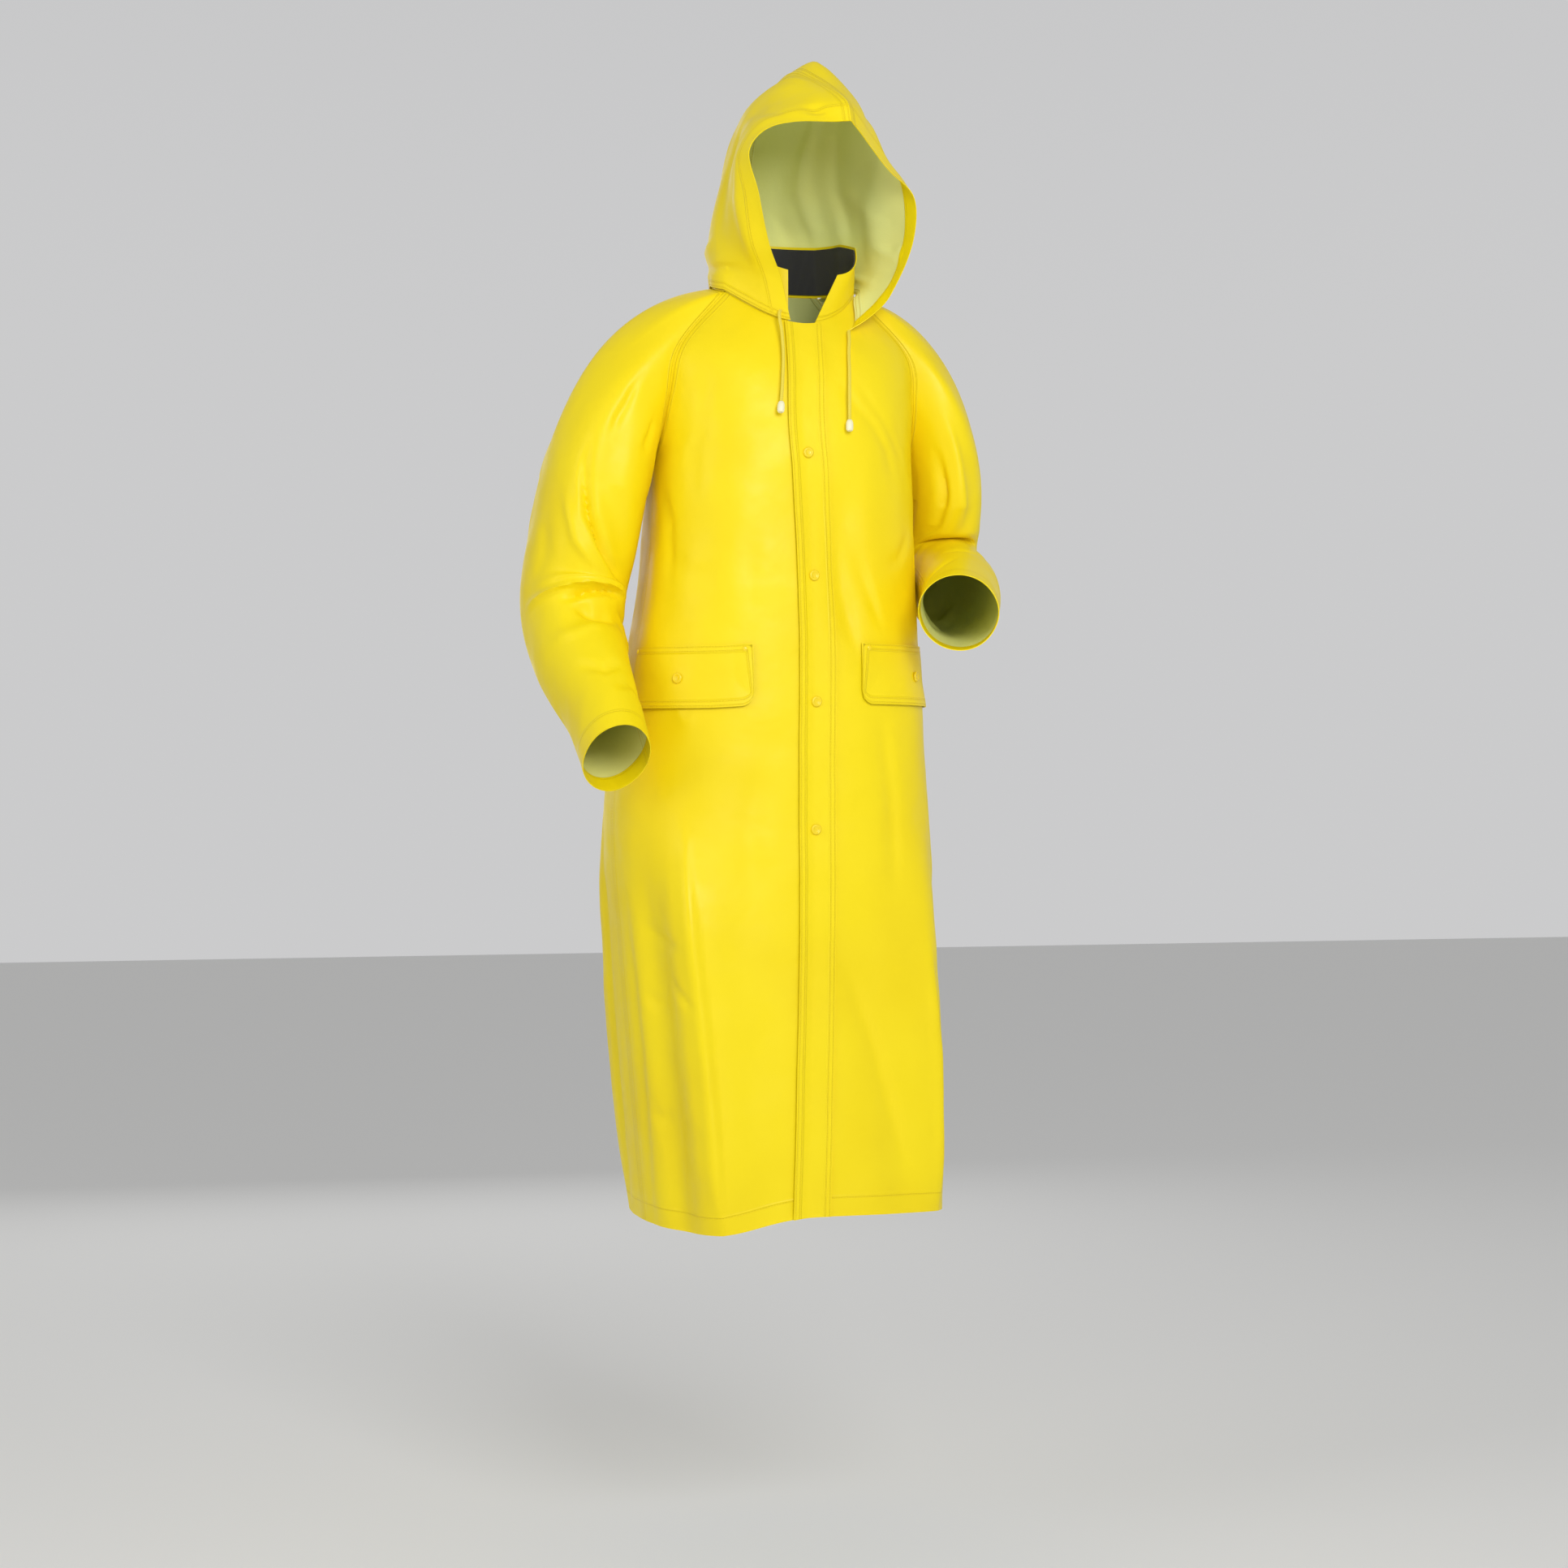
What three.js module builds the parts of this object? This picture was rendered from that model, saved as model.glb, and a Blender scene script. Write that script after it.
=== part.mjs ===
import * as THREE from "three";

// A long hooded raincoat of coated cloth, as worn with both forearms held forward.
// Millimetres, +Z up, the front faces -Y, the wearer's right arm is at -X.
// The origin lies between the shoulders, where the wearer carries the coat.

// Cloth and seams
const CLOTH = 1.6;
const SEAM_HALF_GAP = 0.2;
const LAY_GAP = 0.6;
const UNDERARM_LEVEL = -205;
const SKIRT_ROWS = 16;
const SEAM_STEPS = 8;
const FRONT_COLUMNS = 10;
const BACK_COLUMNS = 18;
const NECK_ARC_STEPS = 2;
const SHOULDER_RINGS = 5;
const ARM_RINGS = 15;
const ARM_LOOK = 0.09;

// Horizontal sections of the body: distances from the axis to each side
const BODY_SECTIONS = [
  { z: -1140, right: 170, left: 203, front: 166, back: 176 },
  { z: -960, right: 186, left: 201, front: 162, back: 174 },
  { z: -800, right: 200, left: 193, front: 158, back: 170 },
  { z: -640, right: 211, left: 183, front: 155, back: 164 },
  { z: -500, right: 196, left: 172, front: 153, back: 156 },
  { z: -360, right: 170, left: 165, front: 150, back: 148 },
  { z: -205, right: 160, left: 160, front: 143, back: 140 },
];
const BODY_SQUARENESS = 2.6;
const YOKE_REACH_SHARE = 0.42;

// The hem's level round the body, by the angle from the front centre
const HEM_LEVELS = [
  { angle: -180, z: -1126 },
  { angle: -90, z: -1130 },
  { angle: -35, z: -1132 },
  { angle: -8, z: -1116 },
  { angle: 0, z: -1113 },
  { angle: 30, z: -1115 },
  { angle: 90, z: -1120 },
  { angle: 180, z: -1126 },
];

// Folds of the body, as lines from one place on it to another
const BODY_MM_PER_DEGREE = 3;
const BODY_FOLDS = [
  { fromAngle: -42, fromZ: -620, toAngle: -33, toZ: -1190, depth: 25, width: 42 },
  { fromAngle: -64, fromZ: -700, toAngle: -58, toZ: -1190, depth: -12, width: 30 },
  { fromAngle: 44, fromZ: -640, toAngle: 46, toZ: -1180, depth: 12, width: 34 },
  { fromAngle: 7, fromZ: -230, toAngle: 12, toZ: -440, depth: -6, width: 24 },
  { fromAngle: 5, fromZ: -720, toAngle: 31, toZ: -1150, depth: -6, width: 28 },
  { fromAngle: 70, fromZ: -700, toAngle: 68, toZ: -1180, depth: -9, width: 34 },
  { fromAngle: 128, fromZ: -560, toAngle: 124, toZ: -1190, depth: 16, width: 40 },
  { fromAngle: 150, fromZ: -500, toAngle: 152, toZ: -1180, depth: -12, width: 34 },
  { fromAngle: 178, fromZ: -420, toAngle: 182, toZ: -1190, depth: 13, width: 44 },
  { fromAngle: 208, fromZ: -520, toAngle: 205, toZ: -1180, depth: -13, width: 32 },
  { fromAngle: 238, fromZ: -600, toAngle: 236, toZ: -1190, depth: 17, width: 38 },
];

// The raglan seams from the underarm (at 0) to the neckline (at 1). The second
// group of columns is the panel's direction there, away from the seam.
const RAGLAN_FRONT = [
  { at: 0, x: 160, y: 0, z: -205, dirX: 0, dirY: -1, dirZ: 0, reach: 92 },
  { at: 0.2, x: 159, y: -34, z: -180, dirX: -0.1, dirY: -0.99, dirZ: 0, reach: 78 },
  { at: 0.42, x: 155, y: -58, z: -130, dirX: -0.35, dirY: -0.93, dirZ: 0, reach: 66 },
  { at: 0.7, x: 143, y: -66, z: -72, dirX: -0.62, dirY: -0.78, dirZ: -0.05, reach: 58 },
  { at: 1, x: 82, y: -50, z: -4, dirX: -0.5, dirY: -0.7, dirZ: -0.5, reach: 40 },
];
const RAGLAN_BACK = [
  { at: 0, x: 160, y: 0, z: -205, dirX: 0, dirY: 1, dirZ: 0, reach: 90 },
  { at: 0.2, x: 159, y: 34, z: -178, dirX: -0.1, dirY: 0.99, dirZ: 0, reach: 76 },
  { at: 0.42, x: 154, y: 58, z: -126, dirX: -0.4, dirY: 0.92, dirZ: 0, reach: 66 },
  { at: 0.7, x: 136, y: 70, z: -64, dirX: -0.75, dirY: 0.66, dirZ: 0.02, reach: 58 },
  { at: 1, x: 66, y: 42, z: 8, dirX: -0.76, dirY: 0.64, dirZ: 0.06, reach: 32 },
];
const FRONT_CENTRE = [
  { at: 0, y: -143, z: -205 },
  { at: 0.35, y: -140, z: -160 },
  { at: 0.65, y: -130, z: -112 },
  { at: 1, y: -105, z: -46 },
];
const BACK_CENTRE = [
  { at: 0, y: 140, z: -205 },
  { at: 0.4, y: 136, z: -140 },
  { at: 0.7, y: 118, z: -70 },
  { at: 1, y: 72, z: 12 },
];
const NECK_SIDE = { x: 84, y: -6, z: 6 };

// How the sleeve leaves the raglan seam, by its place round the arm (0 outer,
// 0.25 front, 0.5 under, 0.75 back), and how it comes into its first arm ring
const SLEEVE_START = [
  { round: 0, outX: 128, outY: -4, outZ: -22, into: 116 },
  { round: 0.12, outX: 78, outY: -10, outZ: -30, into: 92 },
  { round: 0.25, outX: 44, outY: -8, outZ: -36, into: 62 },
  { round: 0.38, outX: 14, outY: -4, outZ: -26, into: 34 },
  { round: 0.5, outX: 2, outY: 0, outZ: -10, into: 10 },
  { round: 0.62, outX: 14, outY: 4, outZ: -26, into: 34 },
  { round: 0.75, outX: 44, outY: 8, outZ: -36, into: 62 },
  { round: 0.88, outX: 78, outY: 10, outZ: -30, into: 92 },
  { round: 1, outX: 128, outY: -4, outZ: -22, into: 116 },
];

// The arm's rings down each sleeve: centre, and half sizes across and deep
const ARM_RIGHT = [
  { along: 0, x: -232, y: 3, z: -238, across: 64, front: 88, back: 88 },
  { along: 0.22, x: -246, y: 8, z: -312, across: 65, front: 86, back: 88 },
  { along: 0.42, x: -257, y: 8, z: -378, across: 62, front: 76, back: 90 },
  { along: 0.6, x: -259, y: -34, z: -440, across: 55, front: 66, back: 80 },
  { along: 0.8, x: -251, y: -102, z: -508, across: 43, front: 58, back: 62 },
  { along: 1, x: -250, y: -167, z: -569, across: 39, front: 52, back: 54 },
];
const ARM_LEFT = [
  { along: 0, x: 213, y: 3, z: -238, across: 46, front: 92, back: 92 },
  { along: 0.2, x: 216, y: 14, z: -286, across: 46, front: 80, back: 86 },
  { along: 0.38, x: 217, y: 8, z: -326, across: 46, front: 52, back: 76 },
  { along: 0.58, x: 210, y: -58, z: -352, across: 46, front: 50, back: 64 },
  { along: 0.8, x: 189, y: -138, z: -374, across: 46, front: 50, back: 54 },
  { along: 1, x: 158, y: -212, z: -396, across: 48, front: 46, back: 46 },
];

// Sleeve folds, from one place to another, round and along the arm
const ARM_ROUND_MM = 480;
const ARM_LENGTH_MM = 400;
const FOLDS_RIGHT = [
  { fromRound: 0.14, fromAlong: -0.2, toRound: 0.42, toAlong: 0.4, depth: -9, width: 26 },
  { fromRound: 0.04, fromAlong: 0.44, toRound: 0.44, toAlong: 0.42, depth: 8, width: 24 },
  { fromRound: 0.14, fromAlong: 0.6, toRound: 0.46, toAlong: 0.54, depth: -8, width: 24 },
];
const FOLDS_LEFT = [
  { fromRound: 0.08, fromAlong: -0.4, toRound: 0.3, toAlong: 0.34, depth: -7, width: 26 },
  { fromRound: 0.1, fromAlong: 0.36, toRound: 0.46, toAlong: 0.4, depth: 6, width: 24 },
];

// The storm flap over the front closing, and its snaps
const FLAP_RIGHT_EDGE = -23;
const FLAP_LEFT_EDGE = 24;
const FLAP_COLUMNS = 4;
// How far the flap's line wanders sideways as the front hangs, at each level
const FLAP_LINE = [
  { z: -1120, shift: -11 },
  { z: -930, shift: -5 },
  { z: -780, shift: -1 },
  { z: -560, shift: 0 },
  { z: -440, shift: 1 },
  { z: -330, shift: -1 },
  { z: -230, shift: -5 },
  { z: -170, shift: -9 },
  { z: -110, shift: -6 },
  { z: -46, shift: -1 },
];
const FLAP_TOP_HEIGHT = 0.985;
const FLAP_SNAP_LEVELS = [-206, -352, -502, -654];
const FLAP_SNAP_X = -2;

// The pocket flaps, measured along the front from their inner edge
const POCKET_TOP = -431;
const POCKET_HEIGHT = 73;
const POCKET_WIDTH = 180;
const POCKET_ROWS = 3;
const POCKET_SPANS = 10;
const POCKET_RIGHT_X = -77;
const POCKET_LEFT_X = 57;
const POCKET_CORNER = 15;
const POCKET_SNAP_DOWN = 38;
const POCKET_SNAP_IN = 92;
const RIVET_IN = 10;
const RIVET_DOWN = 6;

// Snap caps and rivets, as turned profiles
const SNAP_CAP = {
  sides: 16,
  profile: [
    { radius: 0, level: 0 },
    { radius: 6.5, level: 0 },
    { radius: 6.5, level: 1 },
    { radius: 5.4, level: 2.2 },
    { radius: 3.6, level: 2.2 },
    { radius: 2.8, level: 1.6 },
    { radius: 0, level: 1.6 },
  ],
};
const RIVET_CAP = {
  sides: 10,
  profile: [
    { radius: 0, level: 0 },
    { radius: 3.2, level: 0 },
    { radius: 2.6, level: 1 },
    { radius: 0, level: 1.4 },
  ],
};

// The collar, and its corduroy inner face
const COLLAR_HEIGHT = 62;
const COLLAR_LEAN = 5;
const COLLAR_OPEN = { x: 35, y: 18 };
const COLLAR_ROWS = 3;
const COLLAR_COLUMNS = 13;
const COLLAR_END_RIGHT = 0.07;
const COLLAR_END_LEFT = 0.05;
const CORDUROY = 1.4;
const CORDUROY_FIRST = 2;
const CORDUROY_LAST = 26;
const CORDUROY_LOW = 0.05;
const CORDUROY_HIGH = 0.95;

// The hood, in its own frame, which is turned with the head about an upright
// axis. Each line runs up from the neck seam (0) to the crest seam (1).
const HOOD_TURN = 14;
const HOOD_AXIS_Y = -30;
const HOOD_STEPS_UP = 13;
const HOOD_STEPS_BACK = 9;
const HOOD_STAND = 3.6;
const HOOD_CREST = [
  { back: 0, x: 0, y: -149, z: 186 },
  { back: 0.16, x: 0, y: -136, z: 214 },
  { back: 0.42, x: 0, y: -66, z: 250 },
  { back: 0.72, x: 0, y: -10, z: 268 },
  { back: 1, x: 0, y: 50, z: 248 },
];
const HOOD_BACK_SEAM = [
  { up: 0.14, x: 30, y: 107, z: 46 },
  { up: 0.3, x: 20, y: 112, z: 86 },
  { up: 0.5, x: 6, y: 106, z: 132 },
  { up: 0.75, x: 0, y: 88, z: 194 },
  { up: 1, x: 0, y: 50, z: 248 },
];
const HOOD_RIGHT = {
  hem: [
    { up: 0.14, x: -52, y: -74, z: 4 },
    { up: 0.27, x: -72, y: -80, z: 41 },
    { up: 0.46, x: -93, y: -88, z: 100 },
    { up: 0.62, x: -104, y: -85, z: 152 },
    { up: 0.78, x: -79, y: -108, z: 181 },
    { up: 1, x: 0, y: -149, z: 186 },
  ],
  front: [
    { up: 0.14, x: -70, y: -46, z: 12 },
    { up: 0.3, x: -88, y: -54, z: 54 },
    { up: 0.48, x: -98, y: -56, z: 106 },
    { up: 0.64, x: -99, y: -56, z: 156 },
    { up: 0.8, x: -76, y: -80, z: 196 },
    { up: 1, x: 0, y: -136, z: 214 },
  ],
  side: [
    { up: 0.14, x: -87, y: 22, z: 30 },
    { up: 0.3, x: -85, y: 26, z: 76 },
    { up: 0.46, x: -84, y: 14, z: 114 },
    { up: 0.64, x: -74, y: 4, z: 164 },
    { up: 0.82, x: -56, y: -4, z: 214 },
    { up: 0.93, x: -26, y: -42, z: 250 },
    { up: 1, x: 0, y: -66, z: 250 },
  ],
  rear: [
    { up: 0.14, x: -47, y: 97, z: 34 },
    { up: 0.3, x: -43, y: 94, z: 80 },
    { up: 0.48, x: -44, y: 82, z: 124 },
    { up: 0.66, x: -42, y: 62, z: 172 },
    { up: 0.84, x: -32, y: 36, z: 224 },
    { up: 0.94, x: -15, y: 6, z: 246 },
    { up: 1, x: 0, y: -10, z: 268 },
  ],
};
const HOOD_LEFT = {
  hem: [
    { up: 0.12, x: 66, y: -97, z: -32 },
    { up: 0.22, x: 86, y: -103, z: -8 },
    { up: 0.42, x: 111, y: -115, z: 56 },
    { up: 0.58, x: 111, y: -119, z: 110 },
    { up: 0.74, x: 70, y: -128, z: 137 },
    { up: 0.86, x: 42, y: -135, z: 156 },
    { up: 1, x: 0, y: -149, z: 186 },
  ],
  front: [
    { up: 0.12, x: 84, y: -72, z: -4 },
    { up: 0.24, x: 101, y: -80, z: 26 },
    { up: 0.44, x: 112, y: -88, z: 80 },
    { up: 0.6, x: 105, y: -96, z: 130 },
    { up: 0.76, x: 74, y: -104, z: 166 },
    { up: 0.88, x: 50, y: -108, z: 202 },
    { up: 1, x: 0, y: -136, z: 214 },
  ],
  side: [
    { up: 0.14, x: 98, y: 2, z: 30 },
    { up: 0.3, x: 101, y: 4, z: 74 },
    { up: 0.46, x: 97, y: 2, z: 116 },
    { up: 0.64, x: 80, y: -2, z: 166 },
    { up: 0.8, x: 64, y: -20, z: 216 },
    { up: 0.87, x: 49, y: -46, z: 248 },
    { up: 0.923, x: 26, y: -50, z: 271 },
    { up: 1, x: 0, y: -66, z: 250 },
  ],
  rear: [
    { up: 0.14, x: 86, y: 71, z: 36 },
    { up: 0.3, x: 83, y: 72, z: 82 },
    { up: 0.48, x: 70, y: 66, z: 124 },
    { up: 0.66, x: 54, y: 52, z: 172 },
    { up: 0.84, x: 46, y: 20, z: 232 },
    { up: 0.923, x: 25, y: -8, z: 277 },
    { up: 1, x: 0, y: -10, z: 268 },
  ],
};
const HOOD_STATIONS = { hem: 0, front: 0.16, side: 0.42, rear: 0.72, back: 1 };
const HOOD_CHIN_RIGHT = { share: 0.06, fall: 0.01 };
const HOOD_CHIN_LEFT = { share: 0.165, fall: 0.11 };
const HOOD_FOOT = 0.15;
const HOOD_RISE = 2.6;

// Drawcords, as lists of points chosen by hand, and their ends. The right one
// leaves the hood's outer face near the hem, the left one the hem's lower end.
const CORD_RADIUS = 2;
const CORD_SIDES = 8;
const CORD_STEPS = 20;
const CORD_RIGHT = [
  { x: -29.6, y: -104, z: -32.2 },
  { x: -32.5, y: -109, z: -34.5 },
  { x: -34, y: -113.5, z: -43 },
  { x: -33, y: -118.5, z: -58 },
  { x: -34, y: -128, z: -88 },
  { x: -38, y: -138, z: -118 },
  { x: -42, y: -145, z: -146 },
];
const CORD_LEFT = [
  { x: 56.6, y: -104.5, z: -53 },
  { x: 54.6, y: -112, z: -65 },
  { x: 51, y: -121, z: -82 },
  { x: 48, y: -132, z: -104 },
  { x: 45, y: -141, z: -132 },
  { x: 43, y: -147, z: -165 },
];
const CORD_END_PROFILE = [
  { radius: 0, level: 0 },
  { radius: 2.6, level: 0 },
  { radius: 3.6, level: -1.2 },
  { radius: 4.4, level: -5 },
  { radius: 4.4, level: -11 },
  { radius: 3.2, level: -14 },
  { radius: 0, level: -14 },
];
const CORD_END_GAP = 0.3;

const YELLOW = { color: 0xf6da16, roughness: 0.42, metalness: 0 };
const BLACK = { color: 0x12121f, roughness: 0.95, metalness: 0 };
const CREAM = { color: 0xf2ecb4, roughness: 0.6, metalness: 0 };

const raincoat = new THREE.Group();

function addPiece(name, geometry, look) {
  const mesh = new THREE.Mesh(geometry, new THREE.MeshStandardMaterial(look));
  mesh.name = name;
  raincoat.add(mesh);
  return mesh;
}

// Smooth reading of a table: every column at the given key, along a curve
// that passes through each row
function readTable(rows, key, value) {
  const last = rows.length - 1;
  let i = 0;
  while (i < last - 1 && value > rows[i + 1][key]) i += 1;
  const span = rows[i + 1][key] - rows[i][key];
  const t = THREE.MathUtils.clamp((value - rows[i][key]) / span, 0, 1);
  const result = {};
  for (const column of Object.keys(rows[i])) {
    const slope = (j) => {
      const before = rows[Math.max(j - 1, 0)];
      const after = rows[Math.min(j + 1, last)];
      return (after[column] - before[column]) / (after[key] - before[key]);
    };
    const a = rows[i][column];
    const b = rows[i + 1][column];
    const t2 = t * t;
    const t3 = t2 * t;
    result[column] =
      a * (2 * t3 - 3 * t2 + 1) +
      b * (3 * t2 - 2 * t3) +
      span * (slope(i) * (t3 - 2 * t2 + t) + slope(i + 1) * (t3 - t2));
  }
  return result;
}

// How far a fold line moves the cloth at a place, both in millimetres
function foldAt(fold, along, level, from, to) {
  const run = to.clone().sub(from);
  const offset = new THREE.Vector2(along, level).sub(from);
  const t = offset.dot(run) / run.lengthSq();
  const side = offset.cross(run) / run.length();
  const across = Math.exp(-((side / fold.width) ** 2));
  const ends = THREE.MathUtils.smoothstep(t, -0.05, 0.3) * THREE.MathUtils.smoothstep(1.05 - t, 0, 0.3);
  return fold.depth * across * ends;
}

function bodyFoldDepth(angle, z) {
  let depth = 0;
  for (const fold of BODY_FOLDS) {
    let turned = angle;
    if (fold.fromAngle > 90 && angle < 0) turned += 360;
    const from = new THREE.Vector2(fold.fromAngle * BODY_MM_PER_DEGREE, fold.fromZ);
    const to = new THREE.Vector2(fold.toAngle * BODY_MM_PER_DEGREE, fold.toZ);
    depth += foldAt(fold, turned * BODY_MM_PER_DEGREE, z, from, to);
  }
  return depth;
}

// The body's outer face, by the angle from the front centre towards +X
function bodyPoint(angle, z) {
  const section = readTable(BODY_SECTIONS, "z", z);
  const turn = THREE.MathUtils.degToRad(angle);
  const power = 2 / BODY_SQUARENESS;
  const sine = Math.sin(turn);
  const cosine = Math.cos(turn);
  const halfWidth = sine < 0 ? section.right : section.left;
  const halfDepth = cosine > 0 ? section.front : section.back;
  const x = halfWidth * Math.sign(sine) * Math.abs(sine) ** power;
  const y = -halfDepth * Math.sign(cosine) * Math.abs(cosine) ** power;
  const swell = 1 + bodyFoldDepth(angle, z) / Math.hypot(x, y);
  return new THREE.Vector3(x * swell, y * swell, z);
}

function hemLevel(angle) {
  const turned = angle > 180 ? angle - 360 : angle;
  return readTable(HEM_LEVELS, "angle", turned).z;
}

function bezier(a, b, c, d, t) {
  const s = 1 - t;
  return a.clone().multiplyScalar(s * s * s)
    .addScaledVector(b, 3 * s * s * t)
    .addScaledVector(c, 3 * s * t * t)
    .addScaledVector(d, t * t * t);
}

// A panel's point above the underarm. across runs from the centre (0) to the
// seam (1), up from the underarm (0) to the neckline (1). The lower part keeps
// the body's section as far as the seam, the upper part is a curve of its own.
function yokePoint(front, side, across, up) {
  const centre = readTable(front ? FRONT_CENTRE : BACK_CENTRE, "at", up);
  const seam = readTable(front ? RAGLAN_FRONT : RAGLAN_BACK, "at", up);
  const start = new THREE.Vector3(0, centre.y, centre.z);
  const end = new THREE.Vector3(side * seam.x, seam.y, seam.z);
  const away = new THREE.Vector3(side * seam.dirX, seam.dirY, seam.dirZ);
  const startReach = new THREE.Vector3(side * seam.x * YOKE_REACH_SHARE, 0, 0).add(start);
  const endReach = end.clone().addScaledVector(away, seam.reach);
  const curve = bezier(start, startReach, endReach, end, across);

  const section = readTable(BODY_SECTIONS, "z", UNDERARM_LEVEL);
  const halfDepth = front ? section.front : section.back;
  const power = BODY_SQUARENESS / 2;
  const seamTurn = Math.atan2((seam.x / section.left) ** power, (Math.abs(seam.y) / halfDepth) ** power);
  const seamAngle = THREE.MathUtils.radToDeg(seamTurn);
  const arcPoint = (share) => {
    const turned = side * seamAngle * share;
    const level = THREE.MathUtils.lerp(centre.z, seam.z, share);
    const point = bodyPoint(front ? turned : 180 - turned, level);
    point.y += (centre.y - Math.sign(centre.y) * halfDepth) * (1 - share);
    return point;
  };
  const missed = end.sub(arcPoint(1));
  const arc = arcPoint(across).addScaledVector(missed, across ** 2);
  return arc.lerp(curve, THREE.MathUtils.smoothstep(up, 0.1, 0.65));
}

function panelPoint(front, side, across, height) {
  if (height > 0) return yokePoint(front, side, across, height);
  const angle = front ? side * 90 * across : 180 - side * 90 * across;
  return bodyPoint(angle, THREE.MathUtils.lerp(UNDERARM_LEVEL, hemLevel(angle), -height));
}

// Panels are grids of points, rows going up, columns towards +X at the front
function panelHeights() {
  const heights = [];
  for (let i = 0; i <= SKIRT_ROWS; i += 1) heights.push(i / SKIRT_ROWS - 1);
  for (let i = 1; i <= SEAM_STEPS; i += 1) heights.push(i / SEAM_STEPS);
  return heights;
}

function frontGrid(side) {
  return panelHeights().map((height) => {
    const row = [];
    for (let j = 0; j <= FRONT_COLUMNS; j += 1) {
      const across = side < 0 ? 1 - j / FRONT_COLUMNS : j / FRONT_COLUMNS;
      row.push(panelPoint(true, side, across, height));
    }
    return row;
  });
}

function backGrid() {
  const half = BACK_COLUMNS / 2;
  return panelHeights().map((height) => {
    const row = [];
    for (let j = 0; j <= BACK_COLUMNS; j += 1) {
      const side = j < half ? 1 : -1;
      row.push(panelPoint(false, side, Math.abs(j - half) / half, height));
    }
    return row;
  });
}

// The sleeve's top edge: half the neck arc, the front seam down to the
// underarm, the back seam up, and the other half of the neck arc
function sleeveLoop(side) {
  const loop = [];
  const seamPoint = (table, at) => {
    const seam = readTable(table, "at", at);
    return new THREE.Vector3(side * seam.x, seam.y, seam.z);
  };
  const top = new THREE.Vector3(side * NECK_SIDE.x, NECK_SIDE.y, NECK_SIDE.z);
  const neckPoint = (end, t) => {
    const middle = top.clone().lerp(end, t);
    middle.x += side * 4 * 4 * t * (1 - t);
    return middle;
  };
  const frontEnd = seamPoint(RAGLAN_FRONT, 1);
  const backEnd = seamPoint(RAGLAN_BACK, 1);
  for (let i = 0; i < NECK_ARC_STEPS; i += 1) loop.push(neckPoint(frontEnd, i / NECK_ARC_STEPS));
  for (let i = SEAM_STEPS; i > 0; i -= 1) loop.push(seamPoint(RAGLAN_FRONT, i / SEAM_STEPS));
  for (let i = 0; i < SEAM_STEPS; i += 1) loop.push(seamPoint(RAGLAN_BACK, i / SEAM_STEPS));
  for (let i = NECK_ARC_STEPS; i > 0; i -= 1) loop.push(neckPoint(backEnd, i / NECK_ARC_STEPS));
  return loop;
}

// The place round the arm of each column of the loop
function roundOf(column) {
  const neckShare = 0.06;
  const under = NECK_ARC_STEPS + SEAM_STEPS;
  const mirrored = column > under ? 2 * under - column : column;
  const near = Math.min(mirrored, NECK_ARC_STEPS) / NECK_ARC_STEPS;
  const far = Math.max(mirrored - NECK_ARC_STEPS, 0) / SEAM_STEPS;
  const round = neckShare * near + (0.5 - neckShare) * far;
  return column > under ? 1 - round : round;
}

function armFrame(rows, along) {
  const step = ARM_LOOK;
  const here = readTable(rows, "along", along);
  const before = readTable(rows, "along", Math.max(along - step, 0));
  const after = readTable(rows, "along", Math.min(along + step, 1));
  const down = new THREE.Vector3(after.x - before.x, after.y - before.y, after.z - before.z).normalize();
  return { here, down };
}

// Rings round the arm, each turned from the one before by the arm's bend alone
function armRings(rows, folds, side) {
  const columns = 2 * (NECK_ARC_STEPS + SEAM_STEPS);
  const rings = [];
  let front = new THREE.Vector3(0, -1, 0);
  for (let i = 0; i <= ARM_RINGS; i += 1) {
    const along = i / ARM_RINGS;
    const { here, down } = armFrame(rows, along);
    front = front.addScaledVector(down, -front.dot(down)).normalize();
    const outer = new THREE.Vector3().crossVectors(front, down).multiplyScalar(side);
    const ring = [];
    for (let j = 0; j < columns; j += 1) {
      const round = roundOf(j);
      const turn = 2 * Math.PI * round;
      const deep = Math.sin(turn) > 0 ? here.front : here.back;
      const swell = 1 + armFoldDepth(folds, round, along) / Math.hypot(here.across, deep);
      ring.push(
        new THREE.Vector3(here.x, here.y, here.z)
          .addScaledVector(outer, here.across * Math.cos(turn) * swell)
          .addScaledVector(front, deep * Math.sin(turn) * swell),
      );
    }
    rings.push(ring);
  }
  return rings;
}

function armFoldDepth(folds, round, along) {
  let depth = 0;
  for (const fold of folds) {
    const from = new THREE.Vector2(fold.fromRound * ARM_ROUND_MM, fold.fromAlong * ARM_LENGTH_MM);
    const to = new THREE.Vector2(fold.toRound * ARM_ROUND_MM, fold.toAlong * ARM_LENGTH_MM);
    depth += foldAt(fold, round * ARM_ROUND_MM, along * ARM_LENGTH_MM, from, to);
  }
  return depth * Math.SQRT2;
}

// A sleeve's grid, rows from the raglan seam to the cuff
function sleeveGrid(rows, folds, side) {
  const loop = sleeveLoop(side);
  const rings = armRings(rows, folds, side);
  const { down } = armFrame(rows, 0);
  const grid = [];
  for (let i = 0; i < SHOULDER_RINGS; i += 1) {
    const t = i / SHOULDER_RINGS;
    grid.push(
      loop.map((start, j) => {
        const leave = readTable(SLEEVE_START, "round", roundOf(j));
        const out = new THREE.Vector3(side * leave.outX, leave.outY, leave.outZ).add(start);
        const into = rings[0][j].clone().addScaledVector(down, -leave.into);
        return bezier(start, out, into, rings[0][j], t);
      }),
    );
  }
  return grid.concat(rings);
}

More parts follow.
